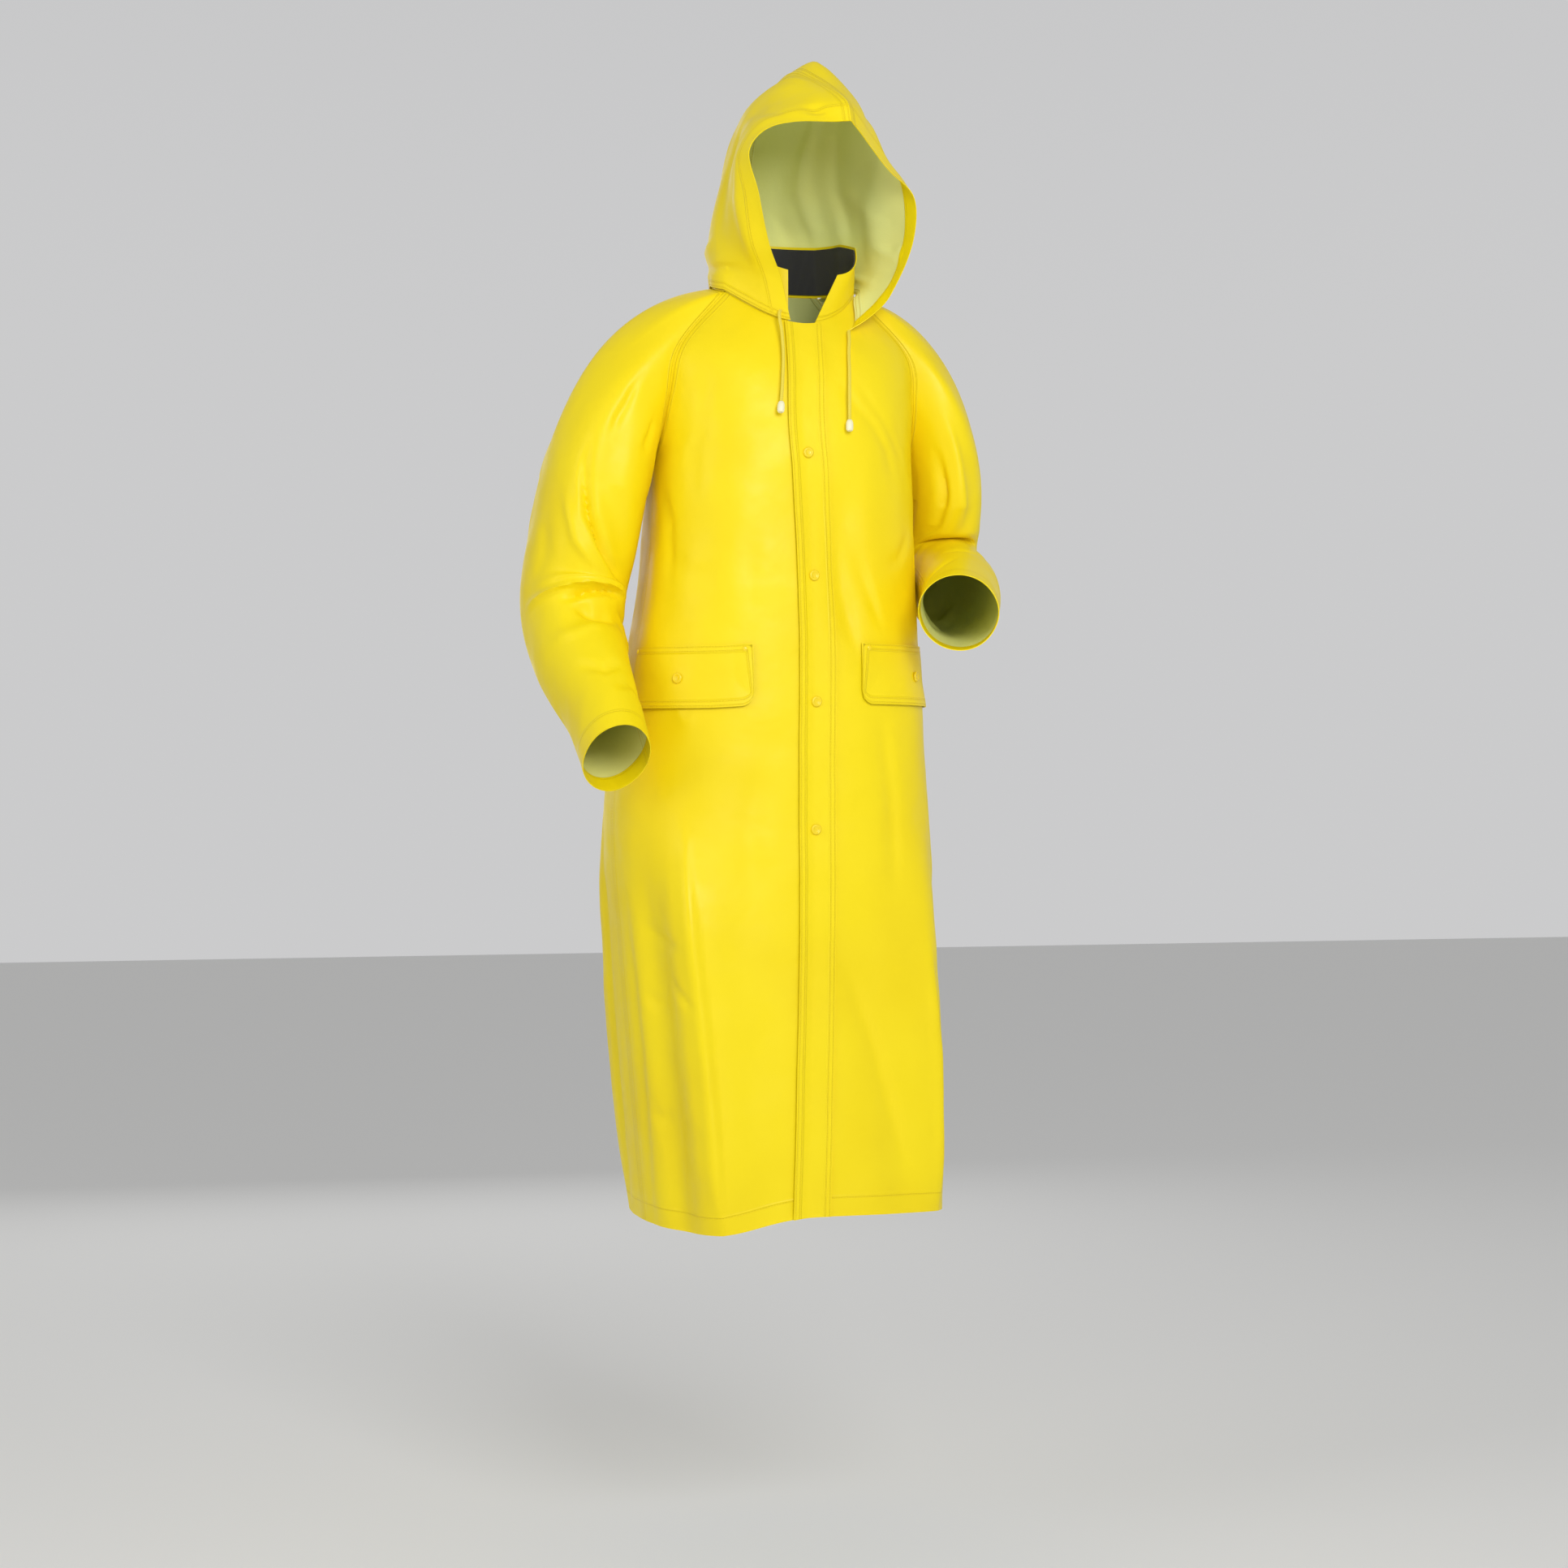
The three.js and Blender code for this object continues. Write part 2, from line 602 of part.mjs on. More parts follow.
// Outward directions of a grid's points. turn is 1 where columns crossed with
// rows point outwards, and -1 where they point inwards.
function gridNormals(grid, turn, closed) {
  const rows = grid.length;
  const columns = grid[0].length;
  return grid.map((row, i) =>
    row.map((_, j) => {
      const left = closed ? (j + columns - 1) % columns : Math.max(j - 1, 0);
      const right = closed ? (j + 1) % columns : Math.min(j + 1, columns - 1);
      const across = row[right].clone().sub(row[left]);
      const along = grid[Math.min(i + 1, rows - 1)][j].clone().sub(grid[Math.max(i - 1, 0)][j]);
      return across.cross(along).normalize().multiplyScalar(turn);
    }),
  );
}

// Gives points that meet at a seam one shared direction
function shareNormal(places) {
  const sum = new THREE.Vector3();
  for (const place of places) sum.add(place.normals[place.row][place.column]);
  sum.normalize();
  for (const place of places) place.normals[place.row][place.column].copy(sum);
}

// Draws the edges of a grid in by half the seam gap
function insetEdges(grid, closed) {
  const rows = grid.length;
  const columns = grid[0].length;
  const pull = (point, towards) => {
    const step = towards.clone().sub(point).normalize();
    return step.multiplyScalar(SEAM_HALF_GAP);
  };
  const moves = [];
  for (let j = 0; j < columns; j += 1) {
    moves.push([grid[0][j], pull(grid[0][j], grid[1][j])]);
    moves.push([grid[rows - 1][j], pull(grid[rows - 1][j], grid[rows - 2][j])]);
  }
  for (let i = 0; i < rows && !closed; i += 1) {
    moves.push([grid[i][0], pull(grid[i][0], grid[i][1])]);
    moves.push([grid[i][columns - 1], pull(grid[i][columns - 1], grid[i][columns - 2])]);
  }
  for (const [point, move] of moves) point.add(move);
}

// A closed wall between a grid and the same grid moved inwards
function wall(grid, normals, thickness, turn, closed) {
  const rows = grid.length;
  const columns = grid[0].length;
  const positions = [];
  for (const layer of [0, thickness]) {
    grid.forEach((row, i) =>
      row.forEach((point, j) => {
        const moved = point.clone().addScaledVector(normals[i][j], -layer);
        positions.push(moved.x, moved.y, moved.z);
      }),
    );
  }
  const inner = rows * columns;
  const index = [];
  const quad = (a, b, c, d) => {
    if (turn > 0) index.push(a, b, c, a, c, d);
    else index.push(a, c, b, a, d, c);
  };
  const at = (i, j) => i * columns + (j % columns);
  const spans = closed ? columns : columns - 1;
  for (let i = 0; i < rows - 1; i += 1) {
    for (let j = 0; j < spans; j += 1) {
      quad(at(i, j), at(i, j + 1), at(i + 1, j + 1), at(i + 1, j));
      quad(inner + at(i, j), inner + at(i + 1, j), inner + at(i + 1, j + 1), inner + at(i, j + 1));
    }
  }
  for (let j = 0; j < spans; j += 1) {
    const top = rows - 1;
    quad(at(0, j + 1), at(0, j), inner + at(0, j), inner + at(0, j + 1));
    quad(at(top, j), at(top, j + 1), inner + at(top, j + 1), inner + at(top, j));
  }
  for (let i = 0; i < rows - 1 && !closed; i += 1) {
    const end = columns - 1;
    quad(at(i, 0), at(i + 1, 0), inner + at(i + 1, 0), inner + at(i, 0));
    quad(at(i + 1, end), at(i, end), inner + at(i, end), inner + at(i + 1, end));
  }
  const geometry = new THREE.BufferGeometry();
  geometry.setAttribute("position", new THREE.Float32BufferAttribute(positions, 3));
  geometry.setIndex(index);
  return geometry;
}

// Fronts, back and sleeves, which share the directions of their seams
function addBodyAndSleeves() {
  const fronts = { [-1]: frontGrid(-1), [1]: frontGrid(1) };
  const back = backGrid();
  const sleeves = {
    [-1]: sleeveGrid(ARM_RIGHT, FOLDS_RIGHT, -1),
    [1]: sleeveGrid(ARM_LEFT, FOLDS_LEFT, 1),
  };
  const frontNormals = { [-1]: gridNormals(fronts[-1], 1, false), [1]: gridNormals(fronts[1], 1, false) };
  const backNormals = gridNormals(back, 1, false);
  const sleeveNormals = {
    [-1]: gridNormals(sleeves[-1], -1, true),
    [1]: gridNormals(sleeves[1], 1, true),
  };
  const under = NECK_ARC_STEPS + SEAM_STEPS;
  for (const side of [-1, 1]) {
    const frontColumn = side < 0 ? 0 : FRONT_COLUMNS;
    const backColumn = side < 0 ? BACK_COLUMNS : 0;
    const frontPlace = (row) => ({ normals: frontNormals[side], row, column: frontColumn });
    const backPlace = (row) => ({ normals: backNormals, row, column: backColumn });
    const sleevePlace = (column) => ({ normals: sleeveNormals[side], row: 0, column });
    for (let i = 0; i < SKIRT_ROWS; i += 1) shareNormal([frontPlace(i), backPlace(i)]);
    shareNormal([frontPlace(SKIRT_ROWS), backPlace(SKIRT_ROWS), sleevePlace(under)]);
    for (let i = 1; i <= SEAM_STEPS; i += 1) {
      shareNormal([frontPlace(SKIRT_ROWS + i), sleevePlace(under - i)]);
      shareNormal([backPlace(SKIRT_ROWS + i), sleevePlace(under + i)]);
    }
  }
  for (const grid of [fronts[-1], fronts[1], back]) insetEdges(grid, false);
  for (const grid of [sleeves[-1], sleeves[1]]) insetEdges(grid, true);
  addPiece("front_right", wall(fronts[-1], frontNormals[-1], CLOTH, 1, false), YELLOW);
  addPiece("front_left", wall(fronts[1], frontNormals[1], CLOTH, 1, false), YELLOW);
  addPiece("back", wall(back, backNormals, CLOTH, 1, false), YELLOW);
  addPiece("sleeve_right", wall(sleeves[-1], sleeveNormals[-1], CLOTH, -1, true), YELLOW);
  addPiece("sleeve_left", wall(sleeves[1], sleeveNormals[1], CLOTH, 1, true), YELLOW);
}

addBodyAndSleeves();

// The neckline from the front centre (0) to the back centre (1) of one side
function neckPath(side) {
  const path = [];
  const steps = 8;
  const loop = sleeveLoop(side);
  for (let i = 0; i < steps; i += 1) path.push(panelPoint(true, side, i / steps, 1));
  for (let i = NECK_ARC_STEPS; i > 0; i -= 1) path.push(loop[i]);
  for (let i = 0; i < NECK_ARC_STEPS; i += 1) path.push(loop[(loop.length - i) % loop.length]);
  for (let i = steps; i >= 0; i -= 1) path.push(panelPoint(false, side, i / steps, 1));
  return new THREE.CatmullRomCurve3(path, false, "centripetal");
}

const NECK_PATHS = { [-1]: neckPath(-1), [1]: neckPath(1) };

// A place on the neckline and the level direction away from the neck there
function neckPlace(side, share) {
  const point = NECK_PATHS[side].getPointAt(share);
  const along = NECK_PATHS[side].getTangentAt(share);
  const out = new THREE.Vector3(along.y, -along.x, 0).normalize().multiplyScalar(side);
  return { point, out };
}

// The collar stands on the neckline, and its left end falls open
function collarPoint(side, share, up) {
  const { point, out } = neckPlace(side, share);
  const open = side > 0 ? 1 - THREE.MathUtils.smoothstep(share, 0.05, 0.55) : 0;
  return point
    .addScaledVector(out, -COLLAR_LEAN * up * (1 - open))
    .add(new THREE.Vector3(COLLAR_OPEN.x * open * up, COLLAR_OPEN.y * open * up, COLLAR_HEIGHT * up));
}

function collarGrid(firstColumn, lastColumn, low, high, inwards) {
  const grid = [];
  for (let i = 0; i <= COLLAR_ROWS; i += 1) {
    const up = THREE.MathUtils.lerp(low, high, i / COLLAR_ROWS);
    const row = [];
    for (let j = firstColumn; j <= lastColumn; j += 1) {
      const side = j < COLLAR_COLUMNS ? 1 : -1;
      const start = side > 0 ? COLLAR_END_LEFT : COLLAR_END_RIGHT;
      const share = 1 - Math.abs(j / COLLAR_COLUMNS - 1) * (1 - start);
      row.push(collarPoint(side, share, up));
    }
    grid.push(row);
  }
  const normals = gridNormals(grid, 1, false);
  grid.forEach((row, i) => row.forEach((point, j) => point.addScaledVector(normals[i][j], -inwards)));
  return { grid, normals };
}

function addCollar() {
  const outside = collarGrid(0, 2 * COLLAR_COLUMNS, 0, 1, 0);
  insetEdges(outside.grid, false);
  addPiece("collar", wall(outside.grid, outside.normals, CLOTH, 1, false), YELLOW);
  const depth = CLOTH + 2 * SEAM_HALF_GAP;
  const inside = collarGrid(CORDUROY_FIRST, CORDUROY_LAST, CORDUROY_LOW, CORDUROY_HIGH, depth);
  addPiece("collar_corduroy", wall(inside.grid, inside.normals, CORDUROY, 1, false), BLACK);
}

addCollar();

// The hood's frame in the part's frame, and the other way
const HOOD_RADIANS = THREE.MathUtils.degToRad(HOOD_TURN);
const UPRIGHT = new THREE.Vector3(0, 0, 1);

function fromHood(point) {
  return new THREE.Vector3(point.x, point.y, point.z)
    .applyAxisAngle(UPRIGHT, HOOD_RADIANS)
    .add(new THREE.Vector3(0, HOOD_AXIS_Y, 0));
}

function toHood(point) {
  return point
    .clone()
    .sub(new THREE.Vector3(0, HOOD_AXIS_Y, 0))
    .applyAxisAngle(UPRIGHT, -HOOD_RADIANS);
}

// The hood's neck edge lies just outside the collar's foot, and its chin ends
// fall a little way down the fronts
function hoodNeck(side, back) {
  const chin = side < 0 ? HOOD_CHIN_RIGHT : HOOD_CHIN_LEFT;
  const share = THREE.MathUtils.lerp(chin.share, 1, back);
  const { point, out } = neckPlace(side, share);
  const fall = (1 - THREE.MathUtils.smoothstep(back, 0, 0.24)) * chin.fall;
  if (fall > 0) {
    const across = frontAcross(side, point.x, 1);
    point.copy(panelPoint(true, side, across, 1 - fall));
  }
  point.z += HOOD_RISE;
  return point.addScaledVector(out, HOOD_STAND);
}

function hoodPoint(side, lines, back, up) {
  const stations = Object.keys(HOOD_STATIONS).map((name) => {
    const station = HOOD_STATIONS[name];
    const foot = toHood(hoodNeck(side, station));
    const table = name === "back" ? HOOD_BACK_SEAM : lines[name];
    const rows = [{ up: 0, x: foot.x, y: foot.y, z: foot.z }, ...table];
    const { x, y, z } = readTable(rows, "up", up);
    return { back: station, x, y, z };
  });
  const point = fromHood(readTable(stations, "back", back));
  if (up < HOOD_FOOT) {
    const foot = fromHood(readTable(hoodFeet(side), "back", back));
    const missed = hoodNeck(side, back).sub(foot);
    point.addScaledVector(missed, 1 - up / HOOD_FOOT);
  }
  return point;
}

function hoodFeet(side) {
  return Object.values(HOOD_STATIONS).map((back) => {
    const { x, y, z } = toHood(hoodNeck(side, back));
    return { back, x, y, z };
  });
}

function hoodGrid(side, lines) {
  const grid = [];
  for (let i = 0; i <= HOOD_STEPS_UP; i += 1) {
    const row = [];
    for (let j = 0; j <= HOOD_STEPS_BACK; j += 1) {
      row.push(hoodPoint(side, lines, j / HOOD_STEPS_BACK, i / HOOD_STEPS_UP));
    }
    grid.push(row);
  }
  return grid;
}

function addHood() {
  const right = hoodGrid(-1, HOOD_RIGHT);
  const left = hoodGrid(1, HOOD_LEFT);
  const rightNormals = gridNormals(right, -1, false);
  const leftNormals = gridNormals(left, 1, false);
  const shared = (row, column) =>
    shareNormal([{ normals: rightNormals, row, column }, { normals: leftNormals, row, column }]);
  for (let i = 0; i < HOOD_STEPS_UP; i += 1) shared(i, HOOD_STEPS_BACK);
  for (let j = 0; j <= HOOD_STEPS_BACK; j += 1) shared(HOOD_STEPS_UP, j);
  insetEdges(right, false);
  insetEdges(left, false);
  addPiece("hood_right", wall(right, rightNormals, CLOTH, -1, false), YELLOW);
  addPiece("hood_left", wall(left, leftNormals, CLOTH, 1, false), YELLOW);
}

addHood();

// The place on a front panel at a given X, and the outward direction there
function frontAcross(side, x, height) {
  let low = 0;
  let high = 0.9;
  for (let i = 0; i < 24; i += 1) {
    const middle = (low + high) / 2;
    if (Math.abs(panelPoint(true, side, middle, height).x) < Math.abs(x)) low = middle;
    else high = middle;
  }
  return low;
}

function frontPlace(side, across, height) {
  const step = 0.01;
  const point = panelPoint(true, side, across, height);
  const outwards = panelPoint(true, side, across + step, height).sub(point).multiplyScalar(side);
  const upwards = panelPoint(true, side, across, height + step);
  upwards.sub(panelPoint(true, side, across, height - step));
  return { point, normal: outwards.cross(upwards).normalize() };
}

// What lies on a panel: its point moved out
function layOn(place, rise) {
  return place.point.addScaledVector(place.normal, rise);
}

function heightOfLevel(level) {
  const hem = hemLevel(0);
  return level < UNDERARM_LEVEL ? -(level - UNDERARM_LEVEL) / (hem - UNDERARM_LEVEL) : 0;
}

// The flap lies along the straight line through a front's first column
function flapPlace(acrossFlap, height) {
  const level = panelPoint(true, 1, 0, height).z;
  const x = acrossFlap + readTable(FLAP_LINE, "z", level).shift;
  const side = x < 0 ? -1 : 1;
  const place = frontPlace(side, 0.5 / FRONT_COLUMNS, height);
  const start = panelPoint(true, side, 0, height);
  const end = panelPoint(true, side, 1 / FRONT_COLUMNS, height);
  place.point = start.lerp(end, x / end.x);
  return place;
}

function addFlap() {
  const rise = LAY_GAP + CLOTH;
  const heights = panelHeights();
  heights[heights.length - 1] = FLAP_TOP_HEIGHT;
  const grid = heights.map((height) => {
    const row = [];
    for (let j = 0; j <= FLAP_COLUMNS; j += 1) {
      const x = THREE.MathUtils.lerp(FLAP_RIGHT_EDGE, FLAP_LEFT_EDGE, j / FLAP_COLUMNS);
      row.push(layOn(flapPlace(x, height), rise));
    }
    return row;
  });
  addPiece("storm_flap", wall(grid, gridNormals(grid, 1, false), CLOTH, 1, false), YELLOW);
  FLAP_SNAP_LEVELS.forEach((level, i) => {
    const place = flapPlace(FLAP_SNAP_X, heightOfLevel(level));
    addCap("snap_flap_" + (i + 1), place, rise + 2 * SEAM_HALF_GAP, SNAP_CAP);
  });
}

// A turned cap, its foot on a place and its axis outwards
function addCap(name, place, rise, cap) {
  const profile = cap.profile.map(({ radius, level }) => new THREE.Vector2(radius, level));
  const geometry = new THREE.LatheGeometry(profile, cap.sides);
  const mesh = addPiece(name, geometry, YELLOW);
  mesh.quaternion.setFromUnitVectors(new THREE.Vector3(0, 1, 0), place.normal);
  mesh.position.copy(layOn(place, rise));
}

// The share across a front at a distance outwards from a given X
function walkAcross(side, height, x, distance) {
  let across = frontAcross(side, x, height);
  let last = panelPoint(true, side, across, height);
  let walked = 0;
  const step = 0.004;
  while (walked < distance && across < 0.99) {
    across += step;
    const next = panelPoint(true, side, across, height);
    walked += next.distanceTo(last);
    last = next;
  }
  return across;
}

function pocketPlace(side, x, along, down) {
  const height = heightOfLevel(POCKET_TOP - down);
  return frontPlace(side, walkAcross(side, height, x, along), height);
}

function pocketColumns() {
  const shares = [0, 0.13, 0.5, 1];
  const start = shares.map((share) => share * POCKET_CORNER);
  const end = shares.map((share) => POCKET_WIDTH - share * POCKET_CORNER).reverse();
  const middle = [];
  const spans = POCKET_SPANS;
  for (let i = 1; i < spans; i += 1) {
    middle.push(THREE.MathUtils.lerp(POCKET_CORNER, POCKET_WIDTH - POCKET_CORNER, i / spans));
  }
  return [...start, ...middle, ...end];
}

function pocketDepth(along) {
  const inCorner = Math.max(POCKET_CORNER - Math.min(along, POCKET_WIDTH - along), 0);
  return POCKET_HEIGHT - POCKET_CORNER + Math.sqrt(POCKET_CORNER ** 2 - inCorner ** 2);
}

function addPocketFlap(name, side, x) {
  const rise = LAY_GAP + CLOTH;
  const grid = [];
  for (let i = POCKET_ROWS; i >= 0; i -= 1) {
    grid.push(
      pocketColumns().map((along) => {
        const down = (pocketDepth(along) * i) / POCKET_ROWS;
        return layOn(pocketPlace(side, x, along, down), rise);
      }),
    );
  }
  const normals = gridNormals(grid, side, false);
  addPiece("pocket_flap_" + name, wall(grid, normals, CLOTH, side, false), YELLOW);
  const above = rise + 2 * SEAM_HALF_GAP;
  addCap("snap_pocket_" + name, pocketPlace(side, x, POCKET_SNAP_IN, POCKET_SNAP_DOWN), above, SNAP_CAP);
  const places = { inner: RIVET_IN, outer: POCKET_WIDTH - RIVET_IN };
  for (const [end, along] of Object.entries(places)) {
    addCap("rivet_" + name + "_" + end, pocketPlace(side, x, along, RIVET_DOWN), above, RIVET_CAP);
  }
}

addFlap();
addPocketFlap("right", -1, POCKET_RIGHT_X);
addPocketFlap("left", 1, POCKET_LEFT_X);

// A drawcord is a tube along its points, with an end piece below it
function addDrawcord(name, points) {
  const path = new THREE.CatmullRomCurve3(points.map(({ x, y, z }) => new THREE.Vector3(x, y, z)));
  const outline = new THREE.Shape();
  for (let i = 0; i < CORD_SIDES; i += 1) {
    const turn = (2 * Math.PI * i) / CORD_SIDES;
    const corner = [CORD_RADIUS * Math.cos(turn), CORD_RADIUS * Math.sin(turn)];
    if (i === 0) outline.moveTo(...corner);
    else outline.lineTo(...corner);
  }
  outline.closePath();
  const tube = new THREE.ExtrudeGeometry(outline, { steps: CORD_STEPS, extrudePath: path });
  addPiece("drawcord_" + name, tube, CREAM);

  const profile = CORD_END_PROFILE.map(({ radius, level }) => new THREE.Vector2(radius, level)).reverse();
  const end = addPiece("cord_end_" + name, new THREE.LatheGeometry(profile, 12), CREAM);
  const direction = path.getTangentAt(1);
  end.quaternion.setFromUnitVectors(new THREE.Vector3(0, -1, 0), direction);
  end.position.copy(path.getPointAt(1)).addScaledVector(direction, CORD_END_GAP);
}

addDrawcord("right", CORD_RIGHT);
addDrawcord("left", CORD_LEFT);

export default raincoat;
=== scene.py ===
"""Cloth, trim and stage of a long hooded raincoat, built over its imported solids."""

import math

import bmesh
import bpy
import numpy as np
from bpy.props import FloatProperty, FloatVectorProperty, PointerProperty
from mathutils import Matrix, Vector


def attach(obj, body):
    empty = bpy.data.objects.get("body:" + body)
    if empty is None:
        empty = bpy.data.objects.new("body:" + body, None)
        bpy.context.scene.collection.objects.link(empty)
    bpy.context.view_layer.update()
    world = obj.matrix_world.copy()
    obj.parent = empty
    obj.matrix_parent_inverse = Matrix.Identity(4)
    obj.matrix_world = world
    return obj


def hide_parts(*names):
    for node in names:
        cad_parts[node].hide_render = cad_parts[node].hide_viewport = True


bl_info = {
    "name": "Hooded Raincoat",
    "version": (1, 0, 0),
    "blender": (4, 5, 0),
    "location": "3D View > Sidebar > Raincoat",
    "description": "Builds the cloth, trim and stage of a long hooded raincoat",
    "category": "Add Mesh",
}

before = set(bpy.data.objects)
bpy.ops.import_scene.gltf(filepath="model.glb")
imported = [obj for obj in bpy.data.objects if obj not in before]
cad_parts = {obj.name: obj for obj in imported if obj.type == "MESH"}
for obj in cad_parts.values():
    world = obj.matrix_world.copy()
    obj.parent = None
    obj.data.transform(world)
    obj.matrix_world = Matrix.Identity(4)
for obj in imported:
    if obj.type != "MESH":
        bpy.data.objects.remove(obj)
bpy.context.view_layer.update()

# Tables are in millimetres and degrees. +Z is up, the front faces -Y and the
# wearer's right arm is at -X, as in the solids.
MM = 0.001
BODY_SECTIONS = {
    "z": (-1140, -960, -800, -640, -500, -360, -205),
    "right": (170, 186, 200, 211, 196, 170, 160),
    "left": (203, 201, 193, 183, 172, 165, 160),
    "front": (166, 162, 158, 155, 153, 150, 143),
    "back": (176, 174, 170, 164, 156, 148, 140),
}
HEM_LEVELS = {
    "angle": (-180, -90, -35, -8, 0, 30, 90, 180),
    "z": (-1126, -1130, -1132, -1116, -1113, -1115, -1120, -1126),
}
BODY_FOLDS = {
    "from_angle": (-42, -64, 44, 7, 5, 70, 128, 150, 178, 208, 238),
    "from_z": (-620, -700, -640, -230, -720, -700, -560, -500, -420, -520, -600),
    "to_angle": (-33, -58, 46, 12, 31, 68, 124, 152, 182, 205, 236),
    "to_z": (-1190, -1190, -1180, -440, -1150, -1180, -1190, -1180, -1190, -1180, -1190),
    "depth": (25, -12, 12, -6, -6, -9, 16, -12, 13, -13, 17),
    "width": (42, 30, 34, 24, 28, 34, 40, 34, 44, 32, 38),
}
RAGLAN_FRONT = {
    "at": (0, 0.2, 0.42, 0.7, 1),
    "x": (160, 159, 155, 143, 82),
    "y": (0, -34, -58, -66, -50),
    "z": (-205, -180, -130, -72, -4),
    "dir_x": (0, -0.1, -0.35, -0.62, -0.5),
    "dir_y": (-1, -0.99, -0.93, -0.78, -0.7),
    "dir_z": (0, 0, 0, -0.05, -0.5),
    "reach": (92, 78, 66, 58, 40),
}
RAGLAN_BACK = {
    "at": (0, 0.2, 0.42, 0.7, 1),
    "x": (160, 159, 154, 136, 66),
    "y": (0, 34, 58, 70, 42),
    "z": (-205, -178, -126, -64, 8),
    "dir_x": (0, -0.1, -0.4, -0.75, -0.76),
    "dir_y": (1, 0.99, 0.92, 0.66, 0.64),
    "dir_z": (0, 0, 0, 0.02, 0.06),
    "reach": (90, 76, 66, 58, 32),
}
FRONT_CENTRE = {
    "at": (0, 0.35, 0.65, 1),
    "y": (-143, -140, -130, -105),
    "z": (-205, -160, -112, -46),
}
BACK_CENTRE = {
    "at": (0, 0.4, 0.7, 1),
    "y": (140, 136, 118, 72),
    "z": (-205, -140, -70, 12),
}
SLEEVE_START = {
    "round": (0, 0.12, 0.25, 0.38, 0.5, 0.62, 0.75, 0.88, 1),
    "out_x": (128, 78, 44, 14, 2, 14, 44, 78, 128),
    "out_y": (-4, -10, -8, -4, 0, 4, 8, 10, -4),
    "out_z": (-22, -30, -36, -26, -10, -26, -36, -30, -22),
    "into": (116, 92, 62, 34, 10, 34, 62, 92, 116),
}
ARM_RIGHT = {
    "along": (0, 0.22, 0.42, 0.6, 0.8, 1),
    "x": (-232, -246, -257, -259, -251, -250),
    "y": (3, 8, 8, -34, -102, -167),
    "z": (-238, -312, -378, -440, -508, -569),
    "across": (64, 65, 62, 55, 43, 39),
    "front": (88, 86, 76, 66, 58, 52),
    "back": (88, 88, 90, 80, 62, 54),
}
ARM_LEFT = {
    "along": (0, 0.2, 0.38, 0.58, 0.8, 1),
    "x": (213, 216, 217, 210, 189, 158),
    "y": (3, 14, 8, -58, -138, -212),
    "z": (-238, -286, -326, -352, -374, -396),
    "across": (46, 46, 46, 46, 46, 48),
    "front": (92, 80, 52, 50, 50, 46),
    "back": (92, 86, 76, 64, 54, 46),
}
FOLDS_RIGHT = {
    "from_round": (0.14, 0.04, 0.14),
    "from_along": (-0.2, 0.44, 0.6),
    "to_round": (0.42, 0.44, 0.46),
    "to_along": (0.4, 0.42, 0.54),
    "depth": (-9, 8, -8),
    "width": (26, 24, 24),
}
FOLDS_LEFT = {
    "from_round": (0.08, 0.1),
    "from_along": (-0.4, 0.36),
    "to_round": (0.3, 0.46),
    "to_along": (0.34, 0.4),
    "depth": (-7, 6),
    "width": (26, 24),
}
HOOD_BACK_SEAM = {
    "up": (0.14, 0.3, 0.5, 0.75, 1),
    "x": (30, 20, 6, 0, 0),
    "y": (107, 112, 106, 88, 50),
    "z": (46, 86, 132, 194, 248),
}
CORD_RIGHT = {
    "x": (-29.6, -32.5, -34, -33, -34, -38, -42),
    "y": (-104, -109, -113.5, -118.5, -128, -138, -145),
    "z": (-32.2, -34.5, -43, -58, -88, -118, -146),
}
CORD_LEFT = {
    "x": (56.6, 54.6, 51, 48, 45, 43),
    "y": (-104.5, -112, -121, -132, -141, -147),
    "z": (-53, -65, -82, -104, -132, -165),
}
HOOD_RIGHT = {
    "hem": {
        "up": (0.14, 0.27, 0.46, 0.62, 0.78, 1),
        "x": (-52, -72, -93, -104, -79, 0),
        "y": (-74, -80, -88, -85, -108, -149),
        "z": (4, 41, 100, 152, 181, 186),
    },
    "front": {
        "up": (0.14, 0.3, 0.48, 0.64, 0.8, 1),
        "x": (-70, -88, -98, -99, -76, 0),
        "y": (-46, -54, -56, -56, -80, -136),
        "z": (12, 54, 106, 156, 196, 214),
    },
    "side": {
        "up": (0.14, 0.3, 0.46, 0.64, 0.82, 0.93, 1),
        "x": (-87, -85, -84, -74, -56, -26, 0),
        "y": (22, 26, 14, 4, -4, -42, -66),
        "z": (30, 76, 114, 164, 214, 250, 250),
    },
    "rear": {
        "up": (0.14, 0.3, 0.48, 0.66, 0.84, 0.94, 1),
        "x": (-47, -43, -44, -42, -32, -15, 0),
        "y": (97, 94, 82, 62, 36, 6, -10),
        "z": (34, 80, 124, 172, 224, 246, 268),
    },
}
